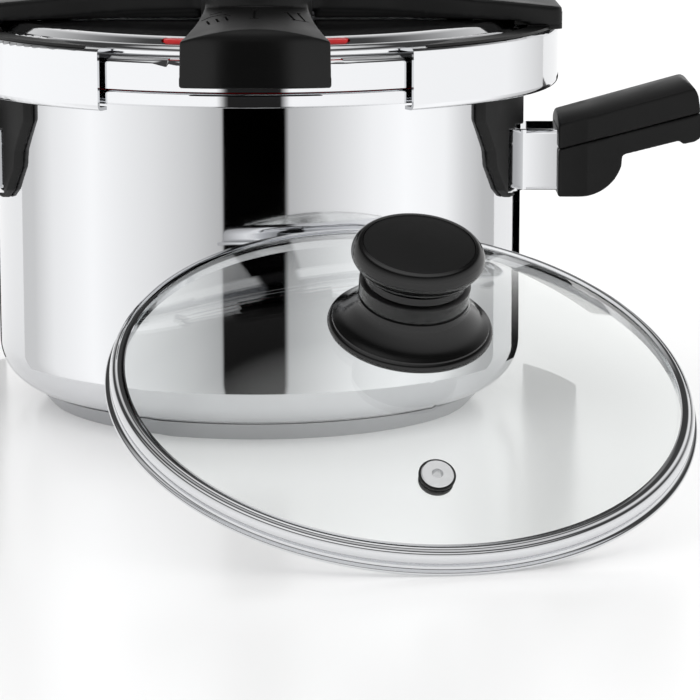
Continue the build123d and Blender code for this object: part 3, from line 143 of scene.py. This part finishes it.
# %% Tumbled steel, brass and aluminium
tumbled = {}
for label, colour, low, high in (("stainless steel, stamped", "#b5b6b8", 0.28, 0.42),
                                 ("stainless steel, turned and tumbled", "#cfd0d1", 0.14, 0.24),
                                 ("brass, turned", "#d2ad63", 0.16, 0.28),
                                 ("aluminium, pressed", "#c9cacc", 0.35, 0.5)):
    made, tree, shader = principled(label, Base_Color=linear(colour), Metallic=1.0)
    place = add(tree, "ShaderNodeTexCoord").outputs["Object"]
    grain = add(tree, "ShaderNodeTexNoise", {"Vector": place, "Scale": 420.0, "Detail": 3.0})
    rough = add(tree, "ShaderNodeMapRange", {"Value": grain.outputs["Fac"], "From Min": 0.3,
                                             "From Max": 0.7, "To Min": low, "To Max": high})
    tree.links.new(rough.outputs["Result"], shader.inputs["Roughness"])
    tumbled[label] = made
stamped_steel, turned_steel, brass, aluminium = tumbled.values()

# %% [markdown]
# ## Black mouldings, silicone and glass
# The bridge, arm and grips are phenolic resin from an etched mould. The etching is finer than
# half a millimetre and scatters light into a broad grey sheen on every edge. The foot of the
# glass lid's knob comes from a polished mould, so it reflects sharply.

# %% Phenolic
satin_black, tree, shader = principled("phenolic resin, etched mould", Base_Color=linear("#0d0d0d"),
                                        Specular_IOR_Level=0.22)
place = add(tree, "ShaderNodeTexCoord").outputs["Object"]
grain = add(tree, "ShaderNodeTexNoise", {"Vector": place, "Scale": 2400.0, "Detail": 2.0})
etched = add(tree, "ShaderNodeBump", {"Height": grain.outputs["Fac"], "Strength": 0.22, "Distance": 0.00006})
tree.links.new(etched.outputs["Normal"], shader.inputs["Normal"])
wear = add(tree, "ShaderNodeTexNoise", {"Vector": place, "Scale": 60.0, "Detail": 3.0})
rough = add(tree, "ShaderNodeMapRange", {"Value": wear.outputs["Fac"], "From Min": 0.3, "From Max": 0.7,
                                         "To Min": 0.36, "To Max": 0.46})
tree.links.new(rough.outputs["Result"], shader.inputs["Roughness"])

gloss_black, tree, shader = principled("phenolic resin, polished mould", Base_Color=linear("#070707"))
place = add(tree, "ShaderNodeTexCoord").outputs["Object"]
wear = add(tree, "ShaderNodeTexNoise", {"Vector": place, "Scale": 90.0, "Detail": 3.0})
rough = add(tree, "ShaderNodeMapRange", {"Value": wear.outputs["Fac"], "From Min": 0.3, "From Max": 0.7,
                                         "To Min": 0.13, "To Max": 0.2})
tree.links.new(rough.outputs["Result"], shader.inputs["Roughness"])

# %% [markdown]
# Silicone is moulded with a dull skin that picks up dust. The indicator pin is a hard gloss
# plastic in the same red, and the dial's cap is grey.

# %% Silicone and plastics
coloured = {}
for label, colour, low, high in (("silicone rubber, red", "#e0141a", 0.4, 0.55),
                                 ("silicone rubber, black", "#131313", 0.45, 0.6),
                                 ("gloss plastic, red", "#c8141a", 0.15, 0.22),
                                 ("satin plastic, grey", "#3a3b3d", 0.35, 0.45)):
    made, tree, shader = principled(label, Base_Color=linear(colour))
    place = add(tree, "ShaderNodeTexCoord").outputs["Object"]
    skin = add(tree, "ShaderNodeTexNoise", {"Vector": place, "Scale": 300.0, "Detail": 3.0})
    rough = add(tree, "ShaderNodeMapRange", {"Value": skin.outputs["Fac"], "From Min": 0.3,
                                             "From Max": 0.7, "To Min": low, "To Max": high})
    tree.links.new(rough.outputs["Result"], shader.inputs["Roughness"])
    coloured[label] = made
red_silicone, black_silicone, red_plastic, grey_plastic = coloured.values()

# %% [markdown]
# Tempered glass is pressed hot, so its faces keep a swell of a few hundredths of a millimetre that
# bends what is seen through it. It is smooth enough to stay clear, with a faint green body.

# %% Glass
clear_glass, tree, shader = principled("soda-lime glass, tempered", Base_Color=linear("#fbfdfc"),
                                       Roughness=0.0, IOR=1.5, Transmission_Weight=1.0)
place = add(tree, "ShaderNodeTexCoord").outputs["Object"]
swell = add(tree, "ShaderNodeTexNoise", {"Vector": place, "Scale": 22.0, "Detail": 1.0})
press = add(tree, "ShaderNodeBump", {"Height": swell.outputs["Fac"], "Strength": 0.05, "Distance": 0.0003})
tree.links.new(press.outputs["Normal"], shader.inputs["Normal"])
print("materials", len(bpy.data.materials))

# %% [markdown]
# ## Finishes of the frame's pieces
# Every CAD piece takes the finish of its material slot. The imported pieces keep their shapes. The
# glass casts no shadow and stops no stray light, because clear glass barely dims what lies under it.

# %% Finishes by slot
finish_of = {"polished_steel": mirror_steel, "base_steel": satin_steel, "core_aluminium": aluminium,
             "black_phenolic": satin_black, "gloss_black": gloss_black, "grey_cap": grey_plastic,
             "red_silicone": red_silicone, "black_rubber": black_silicone,
             "stamped_steel": stamped_steel, "turned_steel": turned_steel, "brass": brass,
             "red_plastic": red_plastic, "clear_glass": clear_glass}
slot_of = {s["node"]: s["material_slot"] for s in frame["record"]["subparts"]}
for name, piece in frame["nodes"].items():
    piece.data.materials.clear()
    piece.data.materials.append(finish_of[slot_of[name]])
for sight in ("diffuse", "shadow"):
    setattr(frame["nodes"]["glass_dome"], "visible_" + sight, False)
print("finished", len(slot_of), "nodes")

# %% [markdown]
# ## The lathe
# Spun and turned pieces are outlines carried round an axis, so one node tree makes them all. It
# sweeps the outline along a ring, or along part of one, and closes the ends.

# %% Lathe tree
lathe = bpy.data.node_groups.new("lathe", "GeometryNodeTree")
for name, kind in (("Outline", "Geometry"), ("Ring radius", "Float"), ("Steps", "Int"),
                   ("Start", "Float"), ("Turn", "Float"), ("Whole ring", "Bool"),
                   ("Finish", "Material")):
    lathe.interface.new_socket(name, in_out="INPUT", socket_type="NodeSocket" + kind)
lathe.interface.new_socket("Piece", in_out="OUTPUT", socket_type="NodeSocketGeometry")
given = add(lathe, "NodeGroupInput").outputs
ring = add(lathe, "GeometryNodeCurvePrimitiveCircle", {"Resolution": given["Steps"],
                                                       "Radius": given["Ring radius"]})
part = add(lathe, "GeometryNodeCurveArc", {"Resolution": given["Steps"], "Radius": given["Ring radius"],
                                           "Start Angle": given["Start"], "Sweep Angle": given["Turn"]})
path = add(lathe, "GeometryNodeSwitch", {"Switch": given["Whole ring"], "False": part.outputs[0],
                                         "True": ring.outputs[0]}, input_type="GEOMETRY")
level = add(lathe, "GeometryNodeSetCurveNormal", {"Curve": path.outputs[0]}, mode="Z_UP")
outline = add(lathe, "GeometryNodeMeshToCurve", {"Mesh": given["Outline"]})
swept = add(lathe, "GeometryNodeCurveToMesh", {"Curve": level.outputs[0], "Profile Curve": outline.outputs[0],
                                               "Fill Caps": True})
joined = add(lathe, "GeometryNodeMergeByDistance", {"Geometry": swept.outputs[0], "Distance": 0.002 * MM})
painted = add(lathe, "GeometryNodeSetMaterial", {"Geometry": joined.outputs[0],
                                                 "Material": given["Finish"]})
real = add(lathe, "GeometryNodeRealizeInstances", {"Geometry": painted.outputs[0]})
add(lathe, "NodeGroupOutput", {"Piece": real.outputs[0]})


def set_inputs(modifier, values):
    """Sets a modifier's inputs by the names that its tree gives them."""
    for item in modifier.node_group.interface.items_tree:
        if item.in_out == "INPUT" and item.name in values:
            modifier[item.identifier] = values[item.name]


def finished(piece, sharp=32.0, turn=None):
    """The evaluated piece as a plain mesh with outward faces and crisp creases."""
    graph = bpy.context.evaluated_depsgraph_get()
    plain = bpy.data.meshes.new_from_object(piece.evaluated_get(graph), depsgraph=graph)
    piece.modifiers.clear()
    piece.data = plain
    if turn:
        plain.transform(turn)
    work = bmesh.new()
    work.from_mesh(plain)
    bmesh.ops.recalc_face_normals(work, faces=work.faces)
    work.to_mesh(plain)
    work.free()
    plain.shade_smooth()
    plain.set_sharp_from_angle(angle=math.radians(sharp))
    return piece


def arc(middle, radius, start, end, steps=8):
    """Points of an arc in the outline's plane, in mm, with angles in degrees."""
    return [(middle[0] + radius * math.cos(math.radians(start + (end - start) * i / steps)),
             middle[1] + radius * math.sin(math.radians(start + (end - start) * i / steps)))
            for i in range(steps + 1)]


def turned(name, points, finish, body, nodes, closed=True, start=0.0, turn=None, steps=240,
           place=None, sharp=32.0, ring_radius=60.0):
    """Turns an outline of (radius, height) points, in mm, and puts it in place of CAD nodes."""
    shape = bpy.data.meshes.new(name)
    count = len(points)
    links = [(i, (i + 1) % count) for i in range(count if closed else count - 1)]
    shape.from_pydata([((r - ring_radius) * MM, -h * MM, 0) for r, h in points], links, [])
    piece = bpy.data.objects.new(name, shape)
    scene.collection.objects.link(piece)
    modifier = piece.modifiers.new("lathe", "NODES")
    modifier.node_group = lathe
    set_inputs(modifier, {"Ring radius": ring_radius * MM, "Steps": steps, "Start": math.radians(start),
                          "Turn": math.radians(turn or 360.0), "Whole ring": turn is None,
                          "Finish": finish})
    finished(piece, sharp, place)
    print(name, len(piece.data.polygons), "faces")
    if body:
        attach(piece, body)
        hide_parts(*nodes)
    return piece


# %% [markdown]
# ## Pot
# The pot is deep-drawn from one disc, so its wall runs into the floor in one large radius and
# turns out into a flange with a rolled edge. The sandwich base under it is a separate skin that
# flares out from the flat that stands on the hob.

# %% Pot body and base
pot_r, wall, corner, base_h = 111.0, 1.0, 20.0, 7.2
flange_r, flange_top, drop, rim = 123.0, 144.2, 5.8, 1.2
outside = [(0.0, base_h)] + arc((pot_r - corner, base_h + corner), corner, -90, 0, 24)
outside += arc((pot_r + 2.0, flange_top - rim - 2.0), 2.0, 180, 90, 8)
outside += [(flange_r - rim, flange_top - rim - 0.3), (flange_r - rim, flange_top - drop)]
outside += arc((flange_r - 0.6, flange_top - drop + 0.6), 0.6, -90, 0, 5)
outside += arc((flange_r - 1.7, flange_top - 1.7), 1.7, 0, 90, 8)
inside = arc((pot_r - wall + 2.0, flange_top - 2.0), 2.0, 90, 180, 8)
inside += arc((pot_r - corner, base_h + corner), corner - wall, 0, -90, 24) + [(0.0, base_h + wall)]
turned("drawn_pot", outside + inside, mirror_steel, "cooker", ["pot_body"], closed=False, steps=360)

stand_r, skin_r, skin_h, skin_t, skin_bend = 90.4, 96.2, 7.6, 0.7, 1.6
skin = [(0.0, 0.0)] + arc((stand_r - skin_bend, skin_bend), skin_bend, -90, -35, 6)
skin += [(skin_r, skin_h), (skin_r - skin_t, skin_h), (90.0, 1.1), (88.6, skin_t), (0.0, skin_t)]
turned("base_skin", skin, satin_steel, "cooker", ["base_cap"], closed=False, steps=360)

# %% [markdown]
# ## Glass lid
# The lid is a pressed dome held in a rolled steel band, and it leans on the pot's wall. Its band
# and knob are turned level, then tipped into place. The band has a flared foot, a groove and a
# rolled top, and each of them catches its own line of light.

# %% Where the glass lid stands
glass_r, glass_t, dome_rise, dome_edge, dome_foot, collar = 109.6, 3.6, 29.0, 105.0, 0.6, 3.0
lean, tilt = math.radians(12.3), math.radians(22.4)
aside, wall_gap = 9.3, 0.35
out_way = Vector((math.sin(lean), -math.cos(lean), 0))
side_way = Vector((math.cos(lean), math.sin(lean), 0))
down_way = out_way * math.cos(tilt) - Vector((0, 0, math.sin(tilt)))
lid_axis = out_way * math.sin(tilt) + Vector((0, 0, math.cos(tilt)))
lid_out = 2 * glass_r
for _ in range(8):
    foot_ring = [out_way * lid_out + side_way * aside - lid_axis * collar
                 + (down_way * math.cos(math.radians(a)) + side_way * math.sin(math.radians(a))) * glass_r
                 for a in range(360)]
    lid_out -= min(math.hypot(p.x, p.y) for p in foot_ring) - pot_r - wall_gap
lid_z = (glass_r - 0.5) * math.sin(tilt) + collar * math.cos(tilt)
lid_mid = out_way * lid_out + side_way * aside + Vector((0, 0, lid_z))
tip = Matrix.Translation(lid_mid * MM) @ Matrix((down_way, side_way, lid_axis)).transposed().to_4x4()
bulge = dome_rise - dome_foot - glass_t
dome_r = (dome_edge ** 2 + bulge ** 2) / (2 * bulge)


def dome(r):
    """Height of the dome's upper face above the rim, at this distance from its axis."""
    return dome_rise - dome_r + math.sqrt(dome_r ** 2 - r ** 2)


def flow(points, steps=6):
    """A smooth line through outline points."""
    ends = [points[0]] + list(points) + [points[-1]]
    line = []
    for a, b, c, d in zip(ends, ends[1:], ends[2:], ends[3:]):
        for i in range(steps):
            t = i / steps
            line.append(tuple(0.5 * (2 * q + (r - p) * t + (2 * p - 5 * q + 4 * r - s) * t * t
                                     + (3 * q - p - 3 * r + s) * t ** 3)
                              for p, q, r, s in zip(a, b, c, d)))
    return line + [points[-1]]


# %% [markdown]
# The band is one strip of steel, rolled to its outline and closed into a ring round the glass. Its
# outline is short arcs and smooth lines, so the lathe gives each roll its own curve.

# %% Steel band
foot = [(103.0, -2.9), (108.6, -2.95)] + arc((108.9, -2.3), 0.65, -80, 95, 8)
groove = flow([(108.3, -1.5), (107.7, -1.2), (107.35, -0.5), (107.45, 0.2)])
roll = flow([(107.5, 0.45), (108.0, 1.5), (107.9, 2.9), (107.2, 4.3), (106.4, 4.75)])
bead = flow([(106.3, 4.6), (105.9, 4.85), (105.2, 5.5), (104.2, 5.6), (103.1, 5.3), (102.5, 5.1)])
under = [(102.5, dome(102.5) + 0.05), (105.02, dome(105.0) + 0.05), (105.02, 0.55), (102.6, 0.1)]
turned("band", foot + groove + roll + bead + under, mirror_steel, "glass_lid", ["glass_band"],
       steps=400, place=tip, sharp=40.0)

# %% [markdown]
# The knob is two mouldings. The foot spreads over the glass like a bell and carries a groove round
# its neck. The cap above it has a rolled edge from a polished mould and a dished satin top, where
# a thumb would otherwise slip.

# %% Knob
rose = [(0.0, dome_rise + 0.05)] + [(r, dome(r) + 0.05) for r in (8, 16, 22, 27, 29.4)]
lip = flow([(29.9, dome(30) + 0.3), (30.3, dome(30) + 1.3), (29.9, dome(30) + 2.5), (28.8, dome(30) + 3.2)])
bell = flow([(28.6, dome(28) + 3.5), (25.6, dome(25) + 5.2), (22.6, dome(22) + 8.2), (20.8, dome_rise + 9.8),
             (20.2, dome_rise + 12.0)])
neck = [(19.5, dome_rise + 12.5), (19.5, dome_rise + 13.0), (20.2, dome_rise + 13.5),
        (20.3, dome_rise + 18.4), (19.8, dome_rise + 19.0), (18.6, dome_rise + 19.6),
        (18.4, dome_rise + 22.2), (0.0, dome_rise + 22.2)]
turned("knob_foot", rose + lip + bell + neck, gloss_black, "glass_lid", ["glass_knob_base"],
       closed=False, place=tip, steps=200)

top_z = dome_rise + 35.0
below = [(0.0, top_z - 11.6), (17.5, top_z - 11.6), (21.0, top_z - 10.6), (21.6, top_z - 10.0),
         (21.7, top_z - 9.4), (21.2, top_z - 9.1)]
edge = flow([(21.4, top_z - 8.9), (23.2, top_z - 7.9), (24.2, top_z - 5.8), (23.7, top_z - 3.2),
             (22.1, top_z - 1.2), (20.4, top_z - 0.7)])
dish = flow([(20.1, top_z - 0.95), (16.0, top_z - 0.6), (8.0, top_z - 0.2), (0.0, top_z - 0.05)])
turned("knob_cap_edge", below + edge + [(20.2, top_z - 1.2), (0.0, top_z - 1.2)], gloss_black,
       "glass_lid", ["glass_knob_top"], closed=False, place=tip, steps=200)
turned("knob_cap_dish", [(0.0, top_z - 1.3), (20.1, top_z - 1.3)] + dish, satin_black, "glass_lid",
       ["glass_knob_top"], closed=False, place=tip, steps=200)

# %% [markdown]
# ## Mouldings
# Thick phenolic parts leave the press with no sharp edge. A fine even mesh is wrapped round each
# one and relaxed a little, which rounds every corner by about a millimetre, as the mould does.

# %% Soft-edged mouldings
def moulded(node, grain, passes, body="cooker"):
    """A copy of a CAD piece with the rounded edges of a moulding, on an even mesh."""
    shape = frame["nodes"][node].data.copy()
    work = bmesh.new()
    work.from_mesh(shape)
    bmesh.ops.remove_doubles(work, verts=work.verts, dist=0.001 * MM)
    work.to_mesh(shape)
    work.free()
    piece = bpy.data.objects.new("moulded_" + node, shape)
    scene.collection.objects.link(piece)
    even = piece.modifiers.new("even mesh", "REMESH")
    even.mode = "VOXEL"
    even.voxel_size = grain * MM
    relax = piece.modifiers.new("relax", "SMOOTH")
    relax.factor = 0.5
    relax.iterations = passes
    finished(piece, sharp=180.0)
    piece.data.materials.clear()
    piece.data.materials.append(satin_black)
    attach(piece, body)
    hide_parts(node)
    return piece


sizes = {"crossbar": (0.95, 2), "opening_knob": (0.7, 3), "selector_dial": (0.55, 2)}
for hand in ("right", "left"):
    for half in ("upper", "lower"):
        sizes[f"grip_{half}_{hand}"] = (0.65, 4)
    for end in ("front", "rear"):
        sizes[f"foot_cover_{hand}_{end}"] = (0.55, 2)
made = {node: moulded(node, grain, passes, node if node in frame["bodies"] else "cooker")
        for node, (grain, passes) in sizes.items()}
print({node: len(piece.data.polygons) for node, piece in made.items()})

# %% [markdown]
# The front arm carries three marks sunk a millimetre into its top: one for steam release and
# one and two bars for the pressure levels. Each stroke is cut by a thin slab that follows the
# slope and the crown of the arm, and its sides face outwards so that the cut takes hold.

# %% Front arm and its marks
arm = moulded("front_arm", 0.6, 3)


def arm_top(x, y):
    """Height of the arm's crowned top, in mm."""
    return 168.5 + 0.1 * (y + 135.0) - 5.6 * (x / 31.0) ** 2


strokes = [((-0.5, -87), (-0.5, -104)), ((-2.2, -104.4), (1.2, -104.4)), ((-2.2, -86.6), (1.2, -86.6)),
           ((12.2, -88), (15.3, -101)), ((16.4, -86), (19.5, -100)), ((11.0, -88.4), (17.6, -85.4)),
           ((14.0, -101.6), (20.8, -99.4)), ((-21.4, -96), (-17.8, -92)), ((-17.8, -92), (-12.4, -92)),
           ((-12.4, -92), (-9.8, -96)), ((-19.2, -99), (-18.0, -107)), ((-15.6, -98), (-14.4, -106)),
           ((-12.0, -97), (-10.8, -105)), ((-18.4, -88), (-13.4, -86))]
stroke_half, stroke_deep, stroke_over = 0.45, 1.1, 4.0
corners, walls = [], []
for (x0, y0), (x1, y1) in strokes:
    along = Vector((x1 - x0, y1 - y0)).normalized() * stroke_half
    for x, y in ((x0, y0), (x1, y1)):
        for way in (1, -1):
            for z in (-stroke_deep, stroke_over):
                corners.append(Vector((x - along.y * way, y + along.x * way, arm_top(x, y) + z)) * MM)
    n = len(corners) - 8
    walls += [[n + k for k in quad] for quad in ((2, 3, 1, 0), (5, 7, 6, 4), (1, 5, 4, 0),
                                                 (6, 7, 3, 2), (4, 6, 2, 0), (3, 7, 5, 1))]
slabs = bpy.data.meshes.new("strokes")
slabs.from_pydata(corners, [], walls)
cutter = bpy.data.objects.new("strokes", slabs)
scene.collection.objects.link(cutter)
cut = arm.modifiers.new("marks", "BOOLEAN")
cut.operation = "DIFFERENCE"
cut.solver = "EXACT"
cut.use_self = True
cut.object = cutter
finished(arm, sharp=50.0)
bpy.data.objects.remove(cutter)
print("arm", len(arm.data.polygons), "faces,", len(strokes), "strokes")

# %% [markdown]
# ## Camera, floor and light
# A long lens from a step back and a little above. The pot stands on a pale glossy sweep between
# two broad soft boxes. The gap between them is what the wall shows as a black stripe.

# %% Camera
lens = bpy.data.cameras.new("camera")
lens.sensor_width = 36.0
lens.lens = 171.63
lens.clip_end = 50.0
camera = bpy.data.objects.new("camera", lens)
scene.collection.objects.link(camera)
camera.location = (0.015, -1.4101, 0.2972)
camera.rotation_euler = (math.pi / 2 - 0.195, 0.0, -0.0168)
scene.camera = camera
scene.view_settings.view_transform = "Standard"

# %% [markdown]
# The sweep is a satin white sheet, lit so evenly that it burns out to white away from the pot.

# %% Floor
def stage_piece(name, corners, faces, made):
    """A mesh that belongs to the studio."""
    shape = bpy.data.meshes.new(name)
    shape.from_pydata(corners, [], faces)
    shape.materials.append(made)
    piece = bpy.data.objects.new(name, shape)
    scene.collection.objects.link(piece)
    return piece


sheet, tree, shader = principled("studio sheet", Base_Color=linear("#f3f3f3"), Roughness=0.22,
                                 Specular_IOR_Level=0.35)
shader.inputs["Emission Color"].default_value = linear("#ffffff")
shader.inputs["Emission Strength"].default_value = 0.16
stage_piece("floor", [(-9, -9, 0), (9, -9, 0), (9, 9, 0), (-9, 9, 0)], [(0, 1, 2, 3)], sheet)

# %% [markdown]
# Curved screens stand close round the pot, lit from behind, and only mirrors see them. Their
# light rises and falls round the pot, and a black strip down the middle gives the steel its dark
# stripe. Without them a mirror would show little but the floor.

# %% Screens
def screen(name, levels, start, end, low, high, far, steps=48):
    """A curved screen that mirrors inside it see. Levels are (degrees from the front, light)."""
    brightest = 1.4
    made = bpy.data.materials.new(name)
    made.use_nodes = True
    tree = made.node_tree
    tree.nodes.clear()
    place = add(tree, "ShaderNodeTexCoord").outputs["Object"]
    axes = add(tree, "ShaderNodeSeparateXYZ", {0: place}).outputs
    back = add(tree, "ShaderNodeMath", {0: axes["Y"], 1: -1.0}, operation="MULTIPLY")
    angle = add(tree, "ShaderNodeMath", {0: axes["X"], 1: back.outputs[0]}, operation="ARCTAN2")
    share = add(tree, "ShaderNodeMapRange", {"Value": angle.outputs[0], "From Min": math.radians(start),
                                             "From Max": math.radians(end)})
    ramp = add(tree, "ShaderNodeValToRGB", {"Fac": share.outputs["Result"]})
    stops = ramp.color_ramp.elements
    while len(stops) < len(levels):
        stops.new(0.5)
    for stop, (degrees, light) in zip(stops, levels):
        stop.position = (degrees - start) / (end - start)
        stop.color = [light / brightest] * 3 + [1.0]
    glow = add(tree, "ShaderNodeEmission", {"Color": ramp.outputs["Color"], "Strength": brightest})
    clear = add(tree, "ShaderNodeBsdfTransparent")
    side = add(tree, "ShaderNodeNewGeometry").outputs["Backfacing"]
    both = add(tree, "ShaderNodeMixShader", {0: side, 1: glow.outputs[0], 2: clear.outputs[0]})
    add(tree, "ShaderNodeOutputMaterial", {"Surface": both.outputs[0]})
    corners = []
    for i in range(steps + 1):
        a = math.radians(start + (end - start) * i / steps)
        corners += [(far * math.sin(a), -far * math.cos(a), z) for z in (low, high)]
    faces = [(2 * i, 2 * i + 1, 2 * i + 3, 2 * i + 2) for i in range(steps)]
    piece = stage_piece(name, corners, faces, made)
    for sight in ("camera", "diffuse", "transmission", "volume_scatter", "shadow"):
        setattr(piece, "visible_" + sight, False)
    return piece


screen("wall_screen", [(-80, 0.75), (-72, 0.78), (-62, 1.1), (-46, 1.3), (-27, 1.02), (-16, 0.8), (-8.8, 0.6),
                       (-8.2, 0.0), (7.2, 0.0), (7.8, 0.6), (10.4, 0.67), (20, 0.93), (30, 1.2), (40, 1.33),
                       (54, 1.22), (62, 0.9), (72, 0.66), (80, 0.63)], -80, 80, 0.0, 0.134, 0.14)
screen("rim_screen", [(-80, 1.0), (-60, 1.3), (-8, 1.25), (-6, 0.02), (5, 0.02), (7, 1.25), (60, 1.2),
                      (80, 0.8)], -80, 80, 0.134, 0.172, 0.14)
screen("right_edge_screen", [(99, 0.0), (122, 0.0)], 99, 122, 0.0, 0.134, 0.14, steps=8)
screen("left_edge_screen", [(-124, 0.0), (-112, 0.0)], -124, -112, 0.0, 0.134, 0.14, steps=8)

# %% [markdown]
# The room is white all round. Mirrors see it darken overhead, so that every rolled edge of steel
# shows a dark line beside its highlight.

# %% Room
world = bpy.data.worlds.new("studio")
world.use_nodes = True
tree = world.node_tree
tree.nodes.clear()
height = add(tree, "ShaderNodeSeparateXYZ", {0: add(tree, "ShaderNodeTexCoord").outputs["Generated"]})
ramp = add(tree, "ShaderNodeValToRGB", {"Fac": height.outputs["Z"]})
stops = ramp.color_ramp.elements
for position, light in ((0.0, 1.0), (0.3, 0.95), (0.55, 0.5), (0.72, 0.06), (0.86, 0.06), (0.93, 0.8),
                        (1.0, 1.2)):
    stop = stops.new(position) if position not in (0.0, 1.0) else stops[0 if position == 0.0 else -1]
    stop.color = (light, light, light, 1.0)
even = add(tree, "ShaderNodeBackground", {"Color": (1.0, 1.0, 1.0, 1.0), "Strength": 1.0})
mirrored = add(tree, "ShaderNodeBackground", {"Color": ramp.outputs["Color"], "Strength": 1.0})
glossy = add(tree, "ShaderNodeLightPath").outputs["Is Glossy Ray"]
room = add(tree, "ShaderNodeMixShader", {0: glossy, 1: even.outputs[0], 2: mirrored.outputs[0]})
add(tree, "ShaderNodeOutputWorld", {"Surface": room.outputs[0]})
scene.world = world
